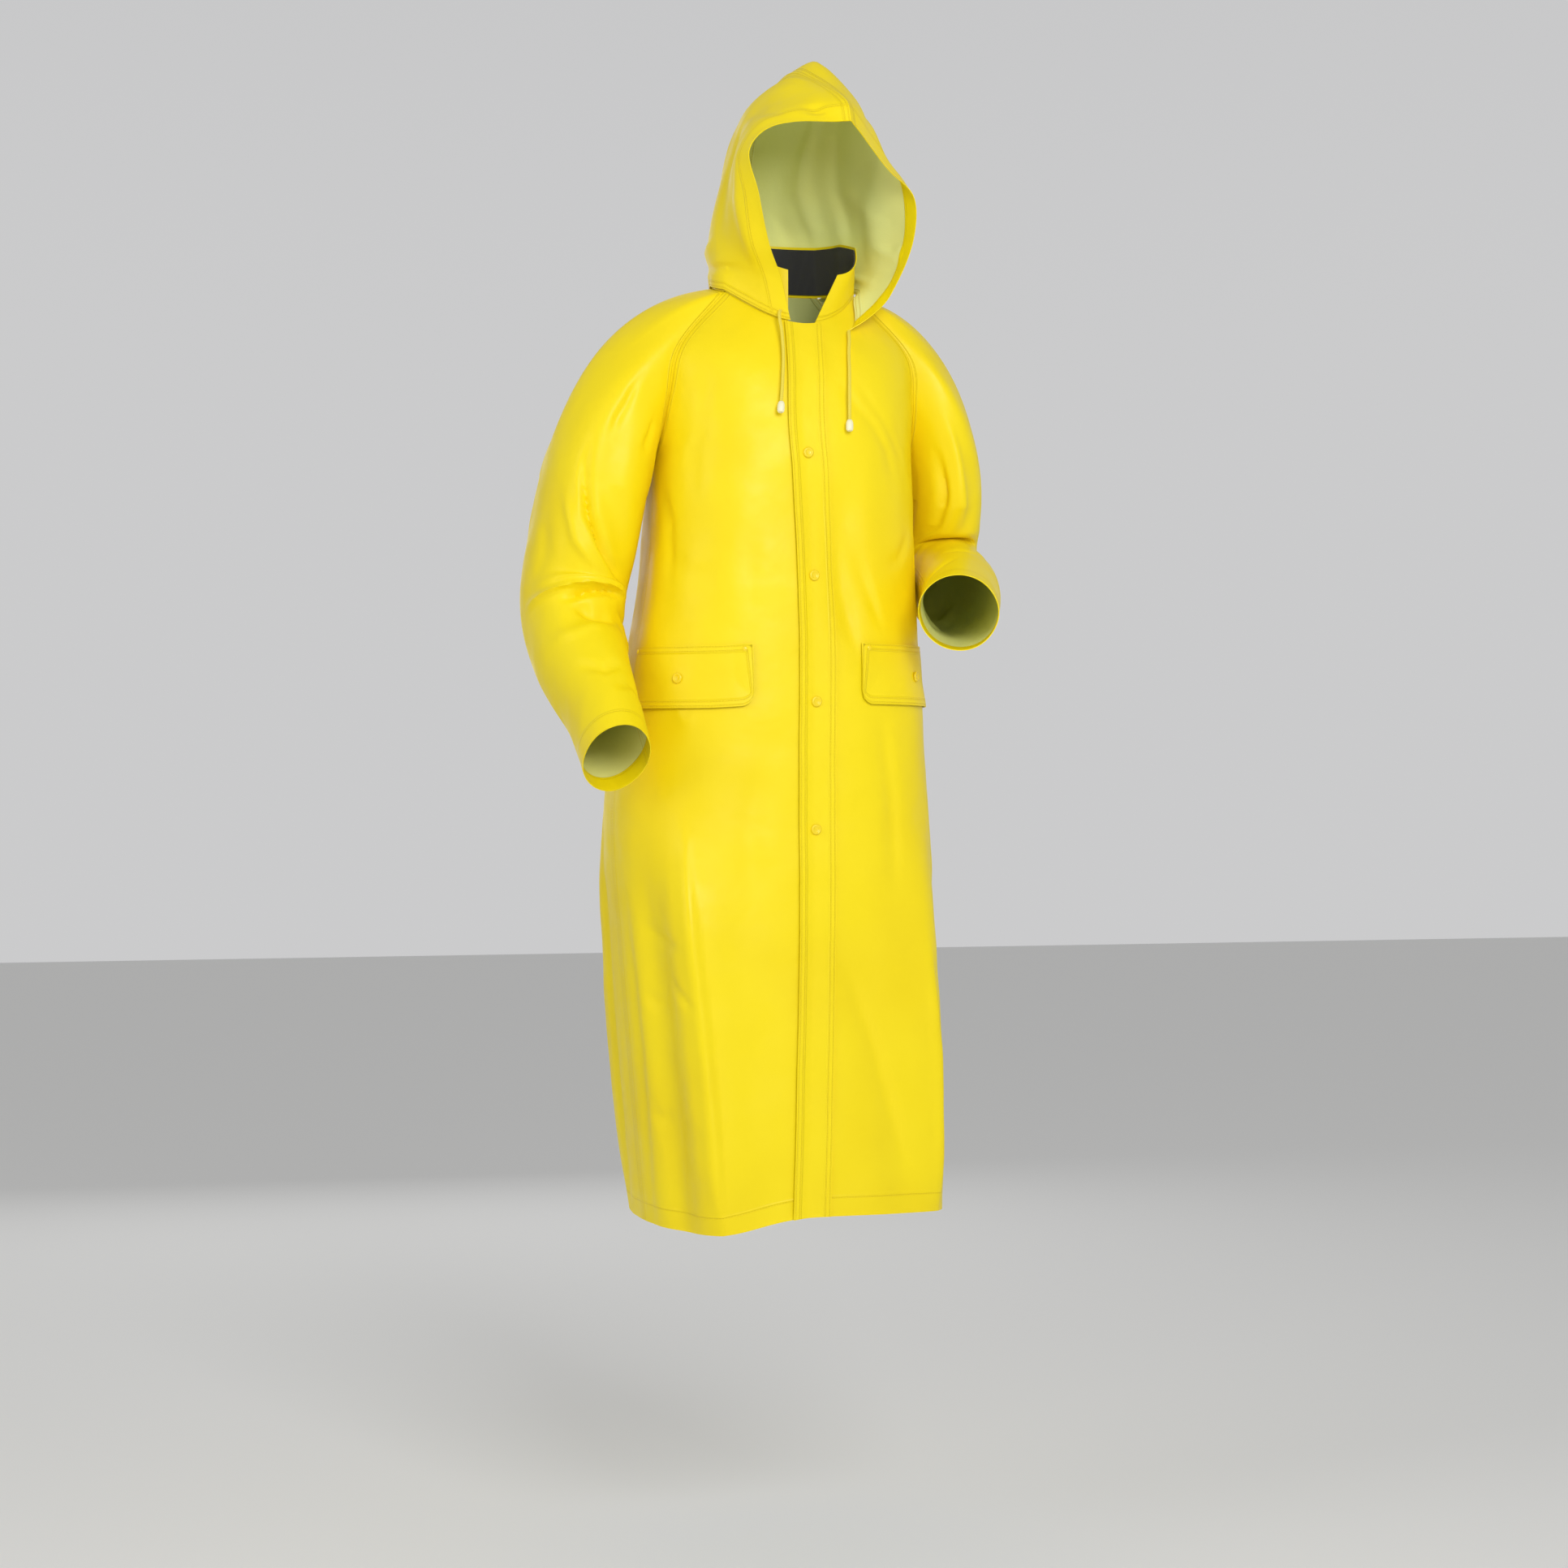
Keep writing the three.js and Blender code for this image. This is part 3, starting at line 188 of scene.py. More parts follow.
HOOD_LEFT = {
    "hem": {
        "up": (0.12, 0.22, 0.42, 0.58, 0.74, 0.86, 1),
        "x": (66, 86, 111, 111, 70, 42, 0),
        "y": (-97, -103, -115, -119, -128, -135, -149),
        "z": (-32, -8, 56, 110, 137, 156, 186),
    },
    "front": {
        "up": (0.12, 0.24, 0.44, 0.6, 0.76, 0.88, 1),
        "x": (84, 101, 112, 105, 74, 50, 0),
        "y": (-72, -80, -88, -96, -104, -108, -136),
        "z": (-4, 26, 80, 130, 166, 202, 214),
    },
    "side": {
        "up": (0.14, 0.3, 0.46, 0.64, 0.8, 0.87, 0.923, 1),
        "x": (98, 101, 97, 80, 64, 49, 26, 0),
        "y": (2, 4, 2, -2, -20, -46, -50, -66),
        "z": (30, 74, 116, 166, 216, 248, 271, 250),
    },
    "rear": {
        "up": (0.14, 0.3, 0.48, 0.66, 0.84, 0.923, 1),
        "x": (86, 83, 70, 54, 46, 25, 0),
        "y": (71, 72, 66, 52, 20, -8, -10),
        "z": (36, 82, 124, 172, 232, 277, 268),
    },
}
# The body's sections are superellipses of this power
BODY_SQUARENESS = 2.6
YOKE_REACH_SHARE = 0.42
YOKE_BLEND = (0.1, 0.65)
YOKE_MIDDLE_DROP = 30
UNDERARM_LEVEL = -205
NECK_SIDE = (84, -6, 6)
NECK_BULGE = 16
NECK_SHARE = 0.06
ARM_FRAMES = 15
ARM_LOOK = 0.09
ARMHOLE_MIDDLE = (120, 0, -120)
# The part of the left elbow that is eased: its middle, half size and fade along the arm
# and round it, as shares
ELBOW = {"along": (0.335, 0.18, 0.07), "round": (0.27, 0.27, 0.09), "passes": 90}
HOOD_TURN = 14
HOOD_AXIS_Y = -30
HOOD_STAND = 3.6
HOOD_RISE = 2.6
HOOD_FOOT = 0.15
HOOD_STATIONS = {"hem": 0, "front": 0.16, "side": 0.42, "rear": 0.72, "back": 1}
HOOD_MIDDLE = (0, -20, 110)
# By side: how far the hood's front corner lies along the neckline, and below it
HOOD_CHIN = {-1: (0.06, 0.01), 1: (0.165, 0.11)}
HOOD_CHIN_REACH = 0.24
COLLAR_HEIGHT = 62
COLLAR_LEAN = 5
COLLAR_OPEN = (35, 18)
COLLAR_OPEN_SHARES = (0.05, 0.55)
COLLAR_ENDS = {-1: 0.07, 1: 0.05}
COLLAR_MIDDLE_Y = -25
CORDUROY = {"along": (0.075, 1), "up": (0.05, 0.95), "behind": 0.7, "wall": 1.0}
LAY_GAP = 0.9
FRONT_REACH = 0.9
FRONT_HALVINGS = 22
FLAP_EDGES = (-23, 24)
FLAP_TOP = 0.985
FLAP_SNAP_LEVELS = (-206, -352, -502, -654)
FLAP_SNAP_X = -2
POCKET = {"top": -431, "height": 73, "width": 180, "corner": 15}
POCKET_X = {-1: -77, 1: 57}
POCKET_EDGE = 0.01
POCKET_REACH = 0.99
POCKET_SAMPLES = 90
POCKET_SNAP = (92, 38)
RIVET = (10, 6)
# How far a loose edge lifts off the cloth below, and over which share of the piece
FLAP_LIFT = (3.0, 0.4)
POCKET_LIFTS = ((2.6, 0.5), (2.2, 0.14))
FLAP_CAP_LIFT = 0.9
POCKET_CAP_LIFT = 0.8
CORD_END_GAP = 0.3

# Lengths that turn a share of a piece, or an angle, into mm along its cloth
BODY_MM_PER_DEGREE = 3
YOKE_MM = 150
ARM_ROUND_MM = 480
ARM_LENGTH_MM = 400
SHOULDER_MM = 150
HOOD_WIDTH_MM = 230
HOOD_HEIGHT_MM = 330

# The cloth's unevenness: cell size and depth in mm, and where each piece lies on it
DENTS = ((74, 1.5), (31, 0.55))
DENT_CELLS = 64
DENT_START = (31.3, 47.7)
DENT_SEEDS = {"body": 11, "sleeve": 23, "hood": 37}
DENTS_APART = {"back": 900, "sleeve": 400, "hood": 300}
DENT_RING = 54
# Between which distances from an edge, in mm, creases and unevenness set in
BODY_FADE = (2, 26)
SLEEVE_FADE = (2, 22)
HOOD_FADES = {"neck": (2, 24), "crown": (2, 18)}

# Cells of each sheet's grid, across and along, and the shares of its rows that the
# skirt and the shoulder take
GRIDS = {
    "front": (72, 210),
    "back": (140, 210),
    "sleeve": (112, 150),
    "collar": (120, 14),
    "corduroy": (120, 12),
    "hood": (72, 96),
    "storm_flap": (12, 210),
    "pocket_flap": (96, 26),
    "drawcord": (14, 60),
}
SKIRT_ROWS = 0.76
SHOULDER_ROWS = 0.3
FLAP_CAP_SIDES = 40
POCKET_CAP_SIDES = 32
CORD_END_SIDES = 28
SHARP_DEGREES = {"cloth": 60, "turned": 40, "cord": 50}

# The stage, in metres and degrees. A lamp has its place behind the coat, to the
# picture's right and above the origin, its size and its watts.
CAMERA = {"turn": -18, "away": 4.0, "right": 0.008, "up": -0.6, "lens": 74.5, "sensor": 36}
LAMPS = {
    "Key": (-3.2, 0.9, 0.75, 1.3, 56),
    "Fill": (-2.4, -2.9, 0.7, 1.6, 19),
    "Back": (3.4, -0.9, 0.4, 2.4, 14),
}
LAMP_AIM = (0, 0, -0.5)
FLOOR_HALF = 14

# Creases pressed or pulled into the cloth, each a line of places in mm across
# and along the piece, with its depth (below 0 a trough), its half width and
# how much sharper its second side is. The body's first number is the angle
# from the centre line times three, its second is the level.
CREASES_FRONT = [
    ([(-120, -668), (-112, -748), (-105, -871), (-101, -977), (-99, -1127)], 7, 11, 0.45),
    ([(-246, -735), (-244, -930), (-247, -1110)], -4.5, 16, 0.7),
    ([(-206, -772), (-168, -782), (-124, -796)], -3, 7, 0.6),
    ([(-158, -826), (-134, -846), (-112, -866)], -3, 6, 0.6),
    ([(-222, -850), (-196, -862), (-172, -858)], -2.5, 8, 0.8),
    ([(-226, -990), (-204, -1000), (-186, -994)], -2.5, 8, 0.8),
    ([(-176, -690), (-188, -860), (-180, -1090)], 1.6, 16, 0.8),
    ([(12, -790), (46, -900), (92, -1070)], -3, 11, 0.6),
    ([(126, -790), (134, -930), (138, -1115)], 5, 10, 0.5),
    ([(188, -680), (200, -860), (196, -1100)], -4.5, 14, 0.8),
    ([(-232, -76), (-190, -126), (-164, -190), (-156, -270)], -1.4, 22, 0.7),
    ([(-214, -104), (-186, -170), (-182, -250)], 0.8, 15, 0.9),
    ([(52, -122), (88, -168), (112, -240)], -2.4, 13, 0.7),
    ([(84, -116), (116, -166), (140, -224)], -1.6, 13, 0.8),
    ([(16, -310), (24, -368), (40, -450)], -3.5, 11, 0.6),
    ([(42, -326), (58, -370), (76, -412)], -3.5, 9, 0.7),
    ([(-60, -290), (-66, -350), (-58, -412)], -1.1, 18, 0.8),
    ([(-152, -512), (-136, -524), (-118, -522)], 2, 9, 0.6),
    ([(-196, -330), (-150, -352), (-112, -350)], -1.5, 14, 0.8),
    ([(-238, -240), (-208, -290), (-198, -360)], -3, 15, 0.7),
    ([(236, -240), (204, -296), (186, -352)], -5, 12, 0.6),
    ([(150, -300), (118, -330), (90, -338)], -3, 9, 0.7),
    ([(-40, -560), (-52, -660), (-48, -760)], -3, 16, 0.9),
    ([(70, -520), (84, -620), (80, -720)], -3.5, 14, 0.7),
]
CREASES_BACK = [
    ([(-62, -470), (-48, -800), (-56, -1120)], 6, 14, 0.5),
    ([(88, -420), (98, -760), (90, -1110)], -6, 13, 0.6),
    ([(-152, -560), (-162, -900), (-152, -1120)], 7, 15, 0.7),
    ([(172, -600), (158, -880), (168, -1120)], -6, 13, 0.6),
    ([(18, -640), (34, -900), (24, -1108)], 4.5, 12, 0.6),
    ([(-214, -640), (-206, -880), (-214, -1110)], -5, 14, 0.7),
    ([(-176, -70), (-104, -190), (-70, -330)], -5, 14, 0.7),
    ([(182, -86), (108, -206), (78, -318)], -5, 13, 0.7),
    ([(-14, -50), (6, -160), (-6, -262)], -2.5, 11, 0.8),
    ([(-134, -516), (-94, -536), (-58, -528)], -3.5, 8, 0.6),
    ([(126, -496), (84, -520), (46, -512)], -3.5, 8, 0.6),
    ([(-30, -388), (16, -402), (58, -392)], -3, 9, 0.8),
    ([(236, -232), (182, -300), (150, -384)], -5, 12, 0.6),
    ([(-238, -236), (-188, -310), (-148, -374)], -5, 12, 0.6),
    ([(206, -330), (168, -352), (128, -352)], -3, 9, 0.7),
]
# On a sleeve: mm round from the outer line by the front, and mm down from the
# end of the shoulder.
CREASES_RIGHT = [
    ([(72, -14), (94, 50), (125, 88), (163, 124), (190, 150)], -15, 10, 0.4),
    ([(56, 22), (86, 86), (128, 126)], 6, 10, 0.6),
    ([(14, 192), (70, 196), (130, 186), (196, 180)], 11, 7, 0.45),
    ([(82, 214), (139, 203), (184, 191)], -15, 8, 0.45),
    ([(92, 226), (126, 240), (172, 236)], -9, 11, 0.6),
    ([(156, -108), (160, -84), (158, -56)], -5, 9, 0.6),
    ([(92, -94), (98, -74), (96, -44)], -4, 9, 0.7),
    ([(186, -120), (204, -66), (214, -8)], 4, 9, 0.6),
    ([(40, 256), (84, 262), (140, 254)], 3.5, 9, 0.6),
    ([(58, 302), (106, 320), (152, 310)], -4, 8, 0.6),
    ([(118, 344), (168, 334), (212, 342)], -3.5, 8, 0.6),
    ([(190, 206), (232, 214), (276, 206)], -6, 9, 0.6),
    ([(214, 238), (250, 246), (292, 240)], 4, 10, 0.7),
    ([(300, 152), (350, 186), (404, 196)], -7, 11, 0.6),
    ([(288, 218), (340, 226), (402, 208)], -5, 9, 0.6),
    ([(330, 18), (370, 88), (402, 150)], -5, 13, 0.7),
    ([(330, -112), (350, -40), (344, 34)], -5, 12, 0.7),
    ([(424, -60), (446, 30), (440, 110)], 4, 15, 0.8),
    ([(420, 232), (380, 262), (330, 268)], -4, 9, 0.6),
    ([(30, 60), (44, 112), (40, 158)], -3.5, 12, 0.8),
]
CREASES_LEFT = [
    ([(158, -72), (160, -18), (170, 48), (216, 108)], -11, 11, 0.55),
    ([(222, 152), (182, 130), (136, 98)], 6, 8, 0.6),
    ([(222, 160), (190, 148), (130, 130)], -9, 7, 0.6),
    ([(216, 166), (196, 162), (182, 158)], -4, 5, 0.7),
    ([(216, 176), (200, 172), (184, 168)], -3.5, 5, 0.7),
    ([(196, 158), (152, 171), (104, 180)], -9, 9, 0.6),
    ([(96, 150), (128, 162), (160, 160)], 5, 8, 0.6),
    ([(206, -104), (216, 0), (224, 92)], -4, 9, 0.6),
    ([(120, -90), (124, -30), (118, 44)], 4, 12, 0.7),
    ([(380, -62), (352, 38), (330, 112)], -6, 12, 0.6),
    ([(298, 128), (346, 152), (402, 140)], -7, 10, 0.6),
    ([(422, 162), (380, 178), (328, 172)], -5, 9, 0.6),
    ([(420, -20), (440, 50), (428, 120)], 4, 14, 0.8),
    ([(58, 262), (110, 286), (162, 276)], -4.5, 9, 0.6),
    ([(150, 330), (200, 346), (242, 336)], -3.5, 8, 0.6),
    ([(250, 250), (300, 264), (352, 250)], -4.5, 9, 0.6),
    ([(236, 204), (280, 214), (330, 204)], 4, 9, 0.7),
    ([(20, 226), (56, 240), (92, 232)], -4, 9, 0.7),
]
# On a hood half: mm back from the hem, and mm up from the neck seam.
CREASES_HOOD = {
    -1: [
        ([(14, 306), (24, 303), (38, 306)], -5, 8, 0.7),
        ([(72, 272), (94, 184), (80, 82)], -5, 16, 0.7),
        ([(36, 228), (46, 150), (36, 58)], 4, 12, 0.7),
        ([(58, 50), (108, 42), (150, 52)], -4.5, 9, 0.6),
        ([(96, 82), (132, 70), (168, 80)], 3.5, 10, 0.7),
        ([(160, 280), (176, 184), (164, 84)], 5, 16, 0.7),
        ([(40, 300), (80, 312), (120, 306)], -3, 9, 0.7),
        ([(186, 220), (200, 150), (190, 70)], -4, 12, 0.7),
        ([(20, 274), (56, 268), (96, 276)], -3, 10, 0.7),
    ],
    1: [
        ([(44, 240), (72, 152), (60, 62)], -6, 17, 0.7),
        ([(96, 262), (112, 172), (98, 80)], 5, 15, 0.7),
        ([(52, 50), (104, 40), (150, 50)], -4.5, 9, 0.6),
        ([(150, 274), (168, 180), (156, 84)], -5, 15, 0.7),
        ([(20, 296), (52, 288), (88, 296)], -3.5, 9, 0.7),
        ([(188, 214), (198, 140), (188, 66)], 4, 12, 0.7),
        ([(24, 120), (40, 100), (66, 96)], -3.5, 10, 0.7),
    ],
}
# Distance of the storm flap's middle from the centre line, by level
FLAP_LINE = {
    "z": (-1120, -930, -780, -560, -440, -330, -230, -170, -110, -46),
    "shift": (-11, -5, -1, 0, 1, -1, -5, -9, -6, -1),
}


def hexed(code):
    """Linear RGBA of an sRGB hex colour."""
    parts = [int(code[i : i + 2], 16) / 255 for i in (0, 2, 4)]
    linear = [c / 12.92 if c <= 0.04045 else ((c + 0.055) / 1.055) ** 2.4 for c in parts]
    return (*linear, 1.0)


def read_curve(keys, values, at):
    """Values at the given keys, on a curve that passes through each row."""
    keys = np.array(keys, float)
    values = np.array(values, float)
    at = np.asarray(at, float)
    last = len(keys) - 1
    i = np.clip(np.searchsorted(keys, at, side="left") - 1, 0, last - 1)
    after = np.minimum(np.arange(last + 1) + 1, last)
    before = np.maximum(np.arange(last + 1) - 1, 0)
    spans = keys[after] - keys[before]
    if values.ndim == 1:
        slopes = (values[after] - values[before]) / spans
        a, b, start, end = values[i], values[i + 1], slopes[i], slopes[i + 1]
    else:
        slopes = (values[after] - values[before]) / spans[:, None]
        n = np.arange(len(at))
        a, b, start, end = values[i, n], values[i + 1, n], slopes[i, n], slopes[i + 1, n]
    span = keys[i + 1] - keys[i]
    t = np.clip((at - keys[i]) / span, 0, 1)
    t2 = t * t
    t3 = t2 * t
    return (
        a * (2 * t3 - 3 * t2 + 1)
        + b * (3 * t2 - 2 * t3)
        + span * (start * (t3 - 2 * t2 + t) + end * (t3 - t2))
    )


def read(table, key, column, at):
    """A table's column, read at values of its key."""
    return read_curve(table[key], table[column], at)


def step(value, low, high):
    """A smooth step from 0 at low to 1 at high."""
    t = np.clip((np.asarray(value, float) - low) / (high - low), 0, 1)
    return t * t * (3 - 2 * t)


def mix(a, b, share):
    return a + (b - a) * share


def points_of(x, y, z):
    return np.stack(np.broadcast_arrays(x, y, z), axis=-1).astype(float)


def unit(vectors):
    return vectors / np.maximum(np.linalg.norm(vectors, axis=-1, keepdims=True), 1e-9)


def bezier(a, b, c, d, t):
    t = np.asarray(t, float)[..., None]
    s = 1 - t
    return a * s**3 + b * 3 * s * s * t + c * 3 * s * t * t + d * t**3


def fold(p, q, start, end, depth, width):
    """A straight fold of the solids, as how far it moves the cloth."""
    run = np.array(end, float) - np.array(start, float)
    x, y = p - start[0], q - start[1]
    length = np.hypot(*run)
    t = (x * run[0] + y * run[1]) / length**2
    side = (x * run[1] - y * run[0]) / length
    ends = step(t, -0.05, 0.3) * step(1.05 - t, 0, 0.3)
    return depth * np.exp(-((side / width) ** 2)) * ends


def crease(p, q, line, depth, width, lean):
    """A crease along a bent line, steeper on the side that lean names."""
    best = np.full(np.shape(p), 1e9)
    at = np.zeros(np.shape(p))
    hand = np.zeros(np.shape(p))
    lengths = [math.dist(a, b) for a, b in zip(line, line[1:])]
    done = 0.0
    for a, b, length in zip(line, line[1:], lengths):
        run = (b[0] - a[0], b[1] - a[1])
        t = np.clip(((p - a[0]) * run[0] + (q - a[1]) * run[1]) / length**2, 0, 1)
        x, y = p - a[0] - run[0] * t, q - a[1] - run[1] * t
        far = np.hypot(x, y)
        near = far < best
        best = np.where(near, far, best)
        at = np.where(near, (done + t * length) / sum(lengths), at)
        hand = np.where(near, x * run[1] - y * run[0], hand)
        done += length
    reach = np.where(hand > 0, width, width * lean)
    ends = step(at, -0.12, 0.3) * step(1 - at, -0.12, 0.3)
    return depth * ends * np.exp(-((best / reach) ** 2))


def dents(p, q, seed):
    """The slight unevenness of hanging cloth, from a seeded lattice."""
    total = 0.0
    for cell, depth in DENTS:
        lattice = np.random.default_rng(seed).uniform(-1, 1, (DENT_CELLS, DENT_CELLS))
        x, y = p / cell + DENT_START[0], q / cell + DENT_START[1]
        i, j = np.floor(x).astype(int), np.floor(y).astype(int)
        u, v = step(x - i, 0, 1), step(y - j, 0, 1)
        i, j = i % (DENT_CELLS - 1), j % (DENT_CELLS - 1)
        low = mix(lattice[i, j], lattice[i + 1, j], u)
        high = mix(lattice[i, j + 1], lattice[i + 1, j + 1], u)
        total = total + depth * mix(low, high, v)
    return total


def hem_level(angle):
    return read(HEM_LEVELS, "angle", "z", np.where(angle > 180, angle - 360, angle))


def body_point(angle, z):
    """The body's outer face, by the angle from the front centre towards +X."""
    angle, z = np.broadcast_arrays(np.asarray(angle, float), np.asarray(z, float))
    depth = np.zeros(angle.shape)
    folds = BODY_FOLDS
    for i, first in enumerate(folds["from_angle"]):
        turned = np.where((first > 90) & (angle < 0), angle + 360, angle)
        start = (first * BODY_MM_PER_DEGREE, folds["from_z"][i])
        end = (folds["to_angle"][i] * BODY_MM_PER_DEGREE, folds["to_z"][i])
        p = turned * BODY_MM_PER_DEGREE
        depth = depth + fold(p, z, start, end, folds["depth"][i], folds["width"][i])
    half = {name: read(BODY_SECTIONS, "z", name, z) for name in ("right", "left", "front", "back")}
    sine, cosine = np.sin(np.radians(angle)), np.cos(np.radians(angle))
    power = 2 / BODY_SQUARENESS
    x = np.where(sine < 0, half["right"], half["left"]) * np.sign(sine) * np.abs(sine) ** power
    y = np.where(cosine > 0, half["front"], half["back"]) * -np.sign(cosine) * np.abs(cosine) ** power
    swell = 1 + depth / np.hypot(x, y)
    return points_of(x * swell, y * swell, z)


def yoke_point(front, side, across, up):
    """A panel above the underarm, between its centre line and the raglan seam."""
    centre = FRONT_CENTRE if front else BACK_CENTRE
    raglan = RAGLAN_FRONT if front else RAGLAN_BACK
    centre_y, centre_z = read(centre, "at", "y", up), read(centre, "at", "z", up)
    seam = {name: read(raglan, "at", name, up) for name in list(raglan)[1:]}
    start = points_of(0, centre_y, centre_z)
    end = points_of(side * seam["x"], seam["y"], seam["z"])
    away = points_of(side * seam["dir_x"], seam["dir_y"], seam["dir_z"])
    start_reach = start + points_of(side * seam["x"] * YOKE_REACH_SHARE, 0, 0)
    curve = bezier(start, start_reach, end + away * seam["reach"][..., None], end, across)

    half_width = read(BODY_SECTIONS, "z", "left", UNDERARM_LEVEL)
    half_depth = read(BODY_SECTIONS, "z", "front" if front else "back", UNDERARM_LEVEL)
    power = BODY_SQUARENESS / 2
    width = (seam["x"] / half_width) ** power
    depth = (np.abs(seam["y"]) / half_depth) ** power
    seam_angle = np.degrees(np.arctan2(width, depth))

    def arc_point(share):
        turned = side * seam_angle * share
        level = mix(centre_z, seam["z"], share)
        point = body_point(turned if front else 180 - turned, level)
        point[..., 1] += (centre_y - np.sign(centre_y) * half_depth) * (1 - share)
        return point

    missed = end - arc_point(1.0)
    arc = arc_point(across) + missed * (across**2)[..., None]
    return mix(arc, curve, step(up, *YOKE_BLEND)[..., None])


def panel_point(front, side, across, height):
    """A panel's point: height runs from the hem (-1) by the underarm (0) to the neckline (1)."""
    across, height = np.broadcast_arrays(np.asarray(across, float), np.asarray(height, float))
    angle = side * 90 * across if front else 180 - side * 90 * across
    level = mix(UNDERARM_LEVEL, hem_level(angle), np.maximum(-height, 0))
    low = body_point(angle, level)
    high = yoke_point(front, side, across, np.maximum(height, 0))
    return np.where((height > 0)[..., None], high, low)


def outwards(place, u, v, middle, reach=0.004):
    """Directions out of a surface, away from the given middle points."""
    du = np.where(u > 0.5, -reach, reach)
    dv = np.where(v > 0.5, -reach, reach)
    here = place(u, v)
    across = (place(u + du, v) - here) * np.sign(du)[..., None]
    along = (place(u, v + dv) - here) * np.sign(dv)[..., None]
    normal = unit(np.cross(across, along))
    wrong = np.sum(normal * (here - middle(here)), axis=-1) < 0
    return here, np.where(wrong[..., None], -normal, normal)


def panel_surface(front, side, across, height):
    """A panel with its creases, and the directions out of it."""
    base, normal = outwards(
        lambda a, h: panel_point(front, side, a, h),
        np.asarray(across, float),
        np.asarray(height, float),
        lambda p: points_of(0, 0, p[..., 2] - YOKE_MIDDLE_DROP * (p[..., 2] > UNDERARM_LEVEL)),
    )
    spread = side * across * 90 * BODY_MM_PER_DEGREE
    level = base[..., 2]
    depth = dents(spread + (0 if front else DENTS_APART["back"]), level, DENT_SEEDS["body"])
    for row in CREASES_FRONT if front else CREASES_BACK:
        depth = depth + crease(spread, level, *row)
    seam_mm = (1 - across) * 90 * BODY_MM_PER_DEGREE
    depth = depth * step(seam_mm, *BODY_FADE) * step((1 - height) * YOKE_MM, *BODY_FADE)
    return base + normal * depth[..., None], normal


def front_across(side, x, height):
    """The share across a front at which it reaches the given X."""
    low = np.zeros(np.shape(x))
    high = np.full(np.shape(x), FRONT_REACH)
    for _ in range(FRONT_HALVINGS):
        middle = (low + high) / 2
        short = np.abs(panel_point(True, side, middle, height)[..., 0]) < np.abs(x)
        low = np.where(short, middle, low)
        high = np.where(short, high, middle)
    return low


def height_of_level(level):
    """The height on a panel's skirt at which a level lies."""
    hem = hem_level(np.array(0.0))
    return -(level - UNDERARM_LEVEL) / (hem - UNDERARM_LEVEL)


def neck_arc(side, raglan, t):
    """The sleeve's share of the neckline, from its top to a raglan seam."""
    top = np.array((side * NECK_SIDE[0], NECK_SIDE[1], NECK_SIDE[2]), float)
    end = np.array((side * raglan["x"][-1], raglan["y"][-1], raglan["z"][-1]), float)
    point = mix(top, end, np.asarray(t, float)[..., None])
    point[..., 0] += side * NECK_BULGE * t * (1 - t)
    return point


def raglan_point(side, raglan, at):
    x, y, z = (read(raglan, "at", name, at) for name in "xyz")
    return points_of(side * x, y, z)


def sleeve_start(side, place_round):
    """The sleeve's top edge, by the share round the arm."""
    r = place_round
    span = 0.5 - NECK_SHARE
    parts = [
        (r < NECK_SHARE, neck_arc(side, RAGLAN_FRONT, np.clip(r / NECK_SHARE, 0, 1))),
        (r <= 0.5, raglan_point(side, RAGLAN_FRONT, np.clip(1 - (r - NECK_SHARE) / span, 0, 1))),
        (r <= 1 - NECK_SHARE, raglan_point(side, RAGLAN_BACK, np.clip((r - 0.5) / span, 0, 1))),
        (r > -1, neck_arc(side, RAGLAN_BACK, np.clip((1 - r) / NECK_SHARE, 0, 1))),
    ]
    point = parts[-1][1]
    for chosen, value in reversed(parts[:-1]):
        point = np.where(chosen[..., None], value, point)
    return point


def arm_direction(rows, along):
    """The direction down the arm, smoothed over its neighbourhood."""
    before, after = np.maximum(along - ARM_LOOK, 0), np.minimum(along + ARM_LOOK, 1)
    run = [read(rows, "along", name, after) - read(rows, "along", name, before) for name in "xyz"]
    return unit(points_of(*run))


def arm_fronts(rows):
    """The front direction of each ring, turned from ring to ring by the bend alone."""
    front = np.array((0.0, -1.0, 0.0))
    fronts = []
    for i in range(ARM_FRAMES + 1):
        down = arm_direction(rows, np.array(i / ARM_FRAMES))
        front = unit(front - down * np.dot(front, down))
        fronts.append(front)
    return np.array(fronts)


def arm_point(side, rows, fronts, folds, place_round, along):
    """A point of the arm's tube, with the folds of the solids."""
    along = np.clip(along, 0, 1)
    here = {name: read(rows, "along", name, along) for name in list(rows)[1:]}
    down = arm_direction(rows, along)
    keys = np.linspace(0, 1, ARM_FRAMES + 1)
    front = points_of(*(np.interp(along, keys, fronts[:, i]) for i in range(3)))
    front = unit(front - down * np.sum(front * down, axis=-1, keepdims=True))
    outer = np.cross(front, down) * side
    turn = 2 * np.pi * place_round
    deep = np.where(np.sin(turn) > 0, here["front"], here["back"])
    depth = 0.0
    for i, depth_mm in enumerate(folds["depth"]):
        start = (folds["from_round"][i] * ARM_ROUND_MM, folds["from_along"][i] * ARM_LENGTH_MM)
        end = (folds["to_round"][i] * ARM_ROUND_MM, folds["to_along"][i] * ARM_LENGTH_MM)
        p, q = place_round * ARM_ROUND_MM, along * ARM_LENGTH_MM
        depth = depth + fold(p, q, start, end, depth_mm, folds["width"][i])
    swell = 1 + depth * math.sqrt(2) / np.hypot(here["across"], deep)
    centre = points_of(here["x"], here["y"], here["z"])
    return (
        centre
        + outer * (here["across"] * np.cos(turn) * swell)[..., None]
        + front * (deep * np.sin(turn) * swell)[..., None]
    )


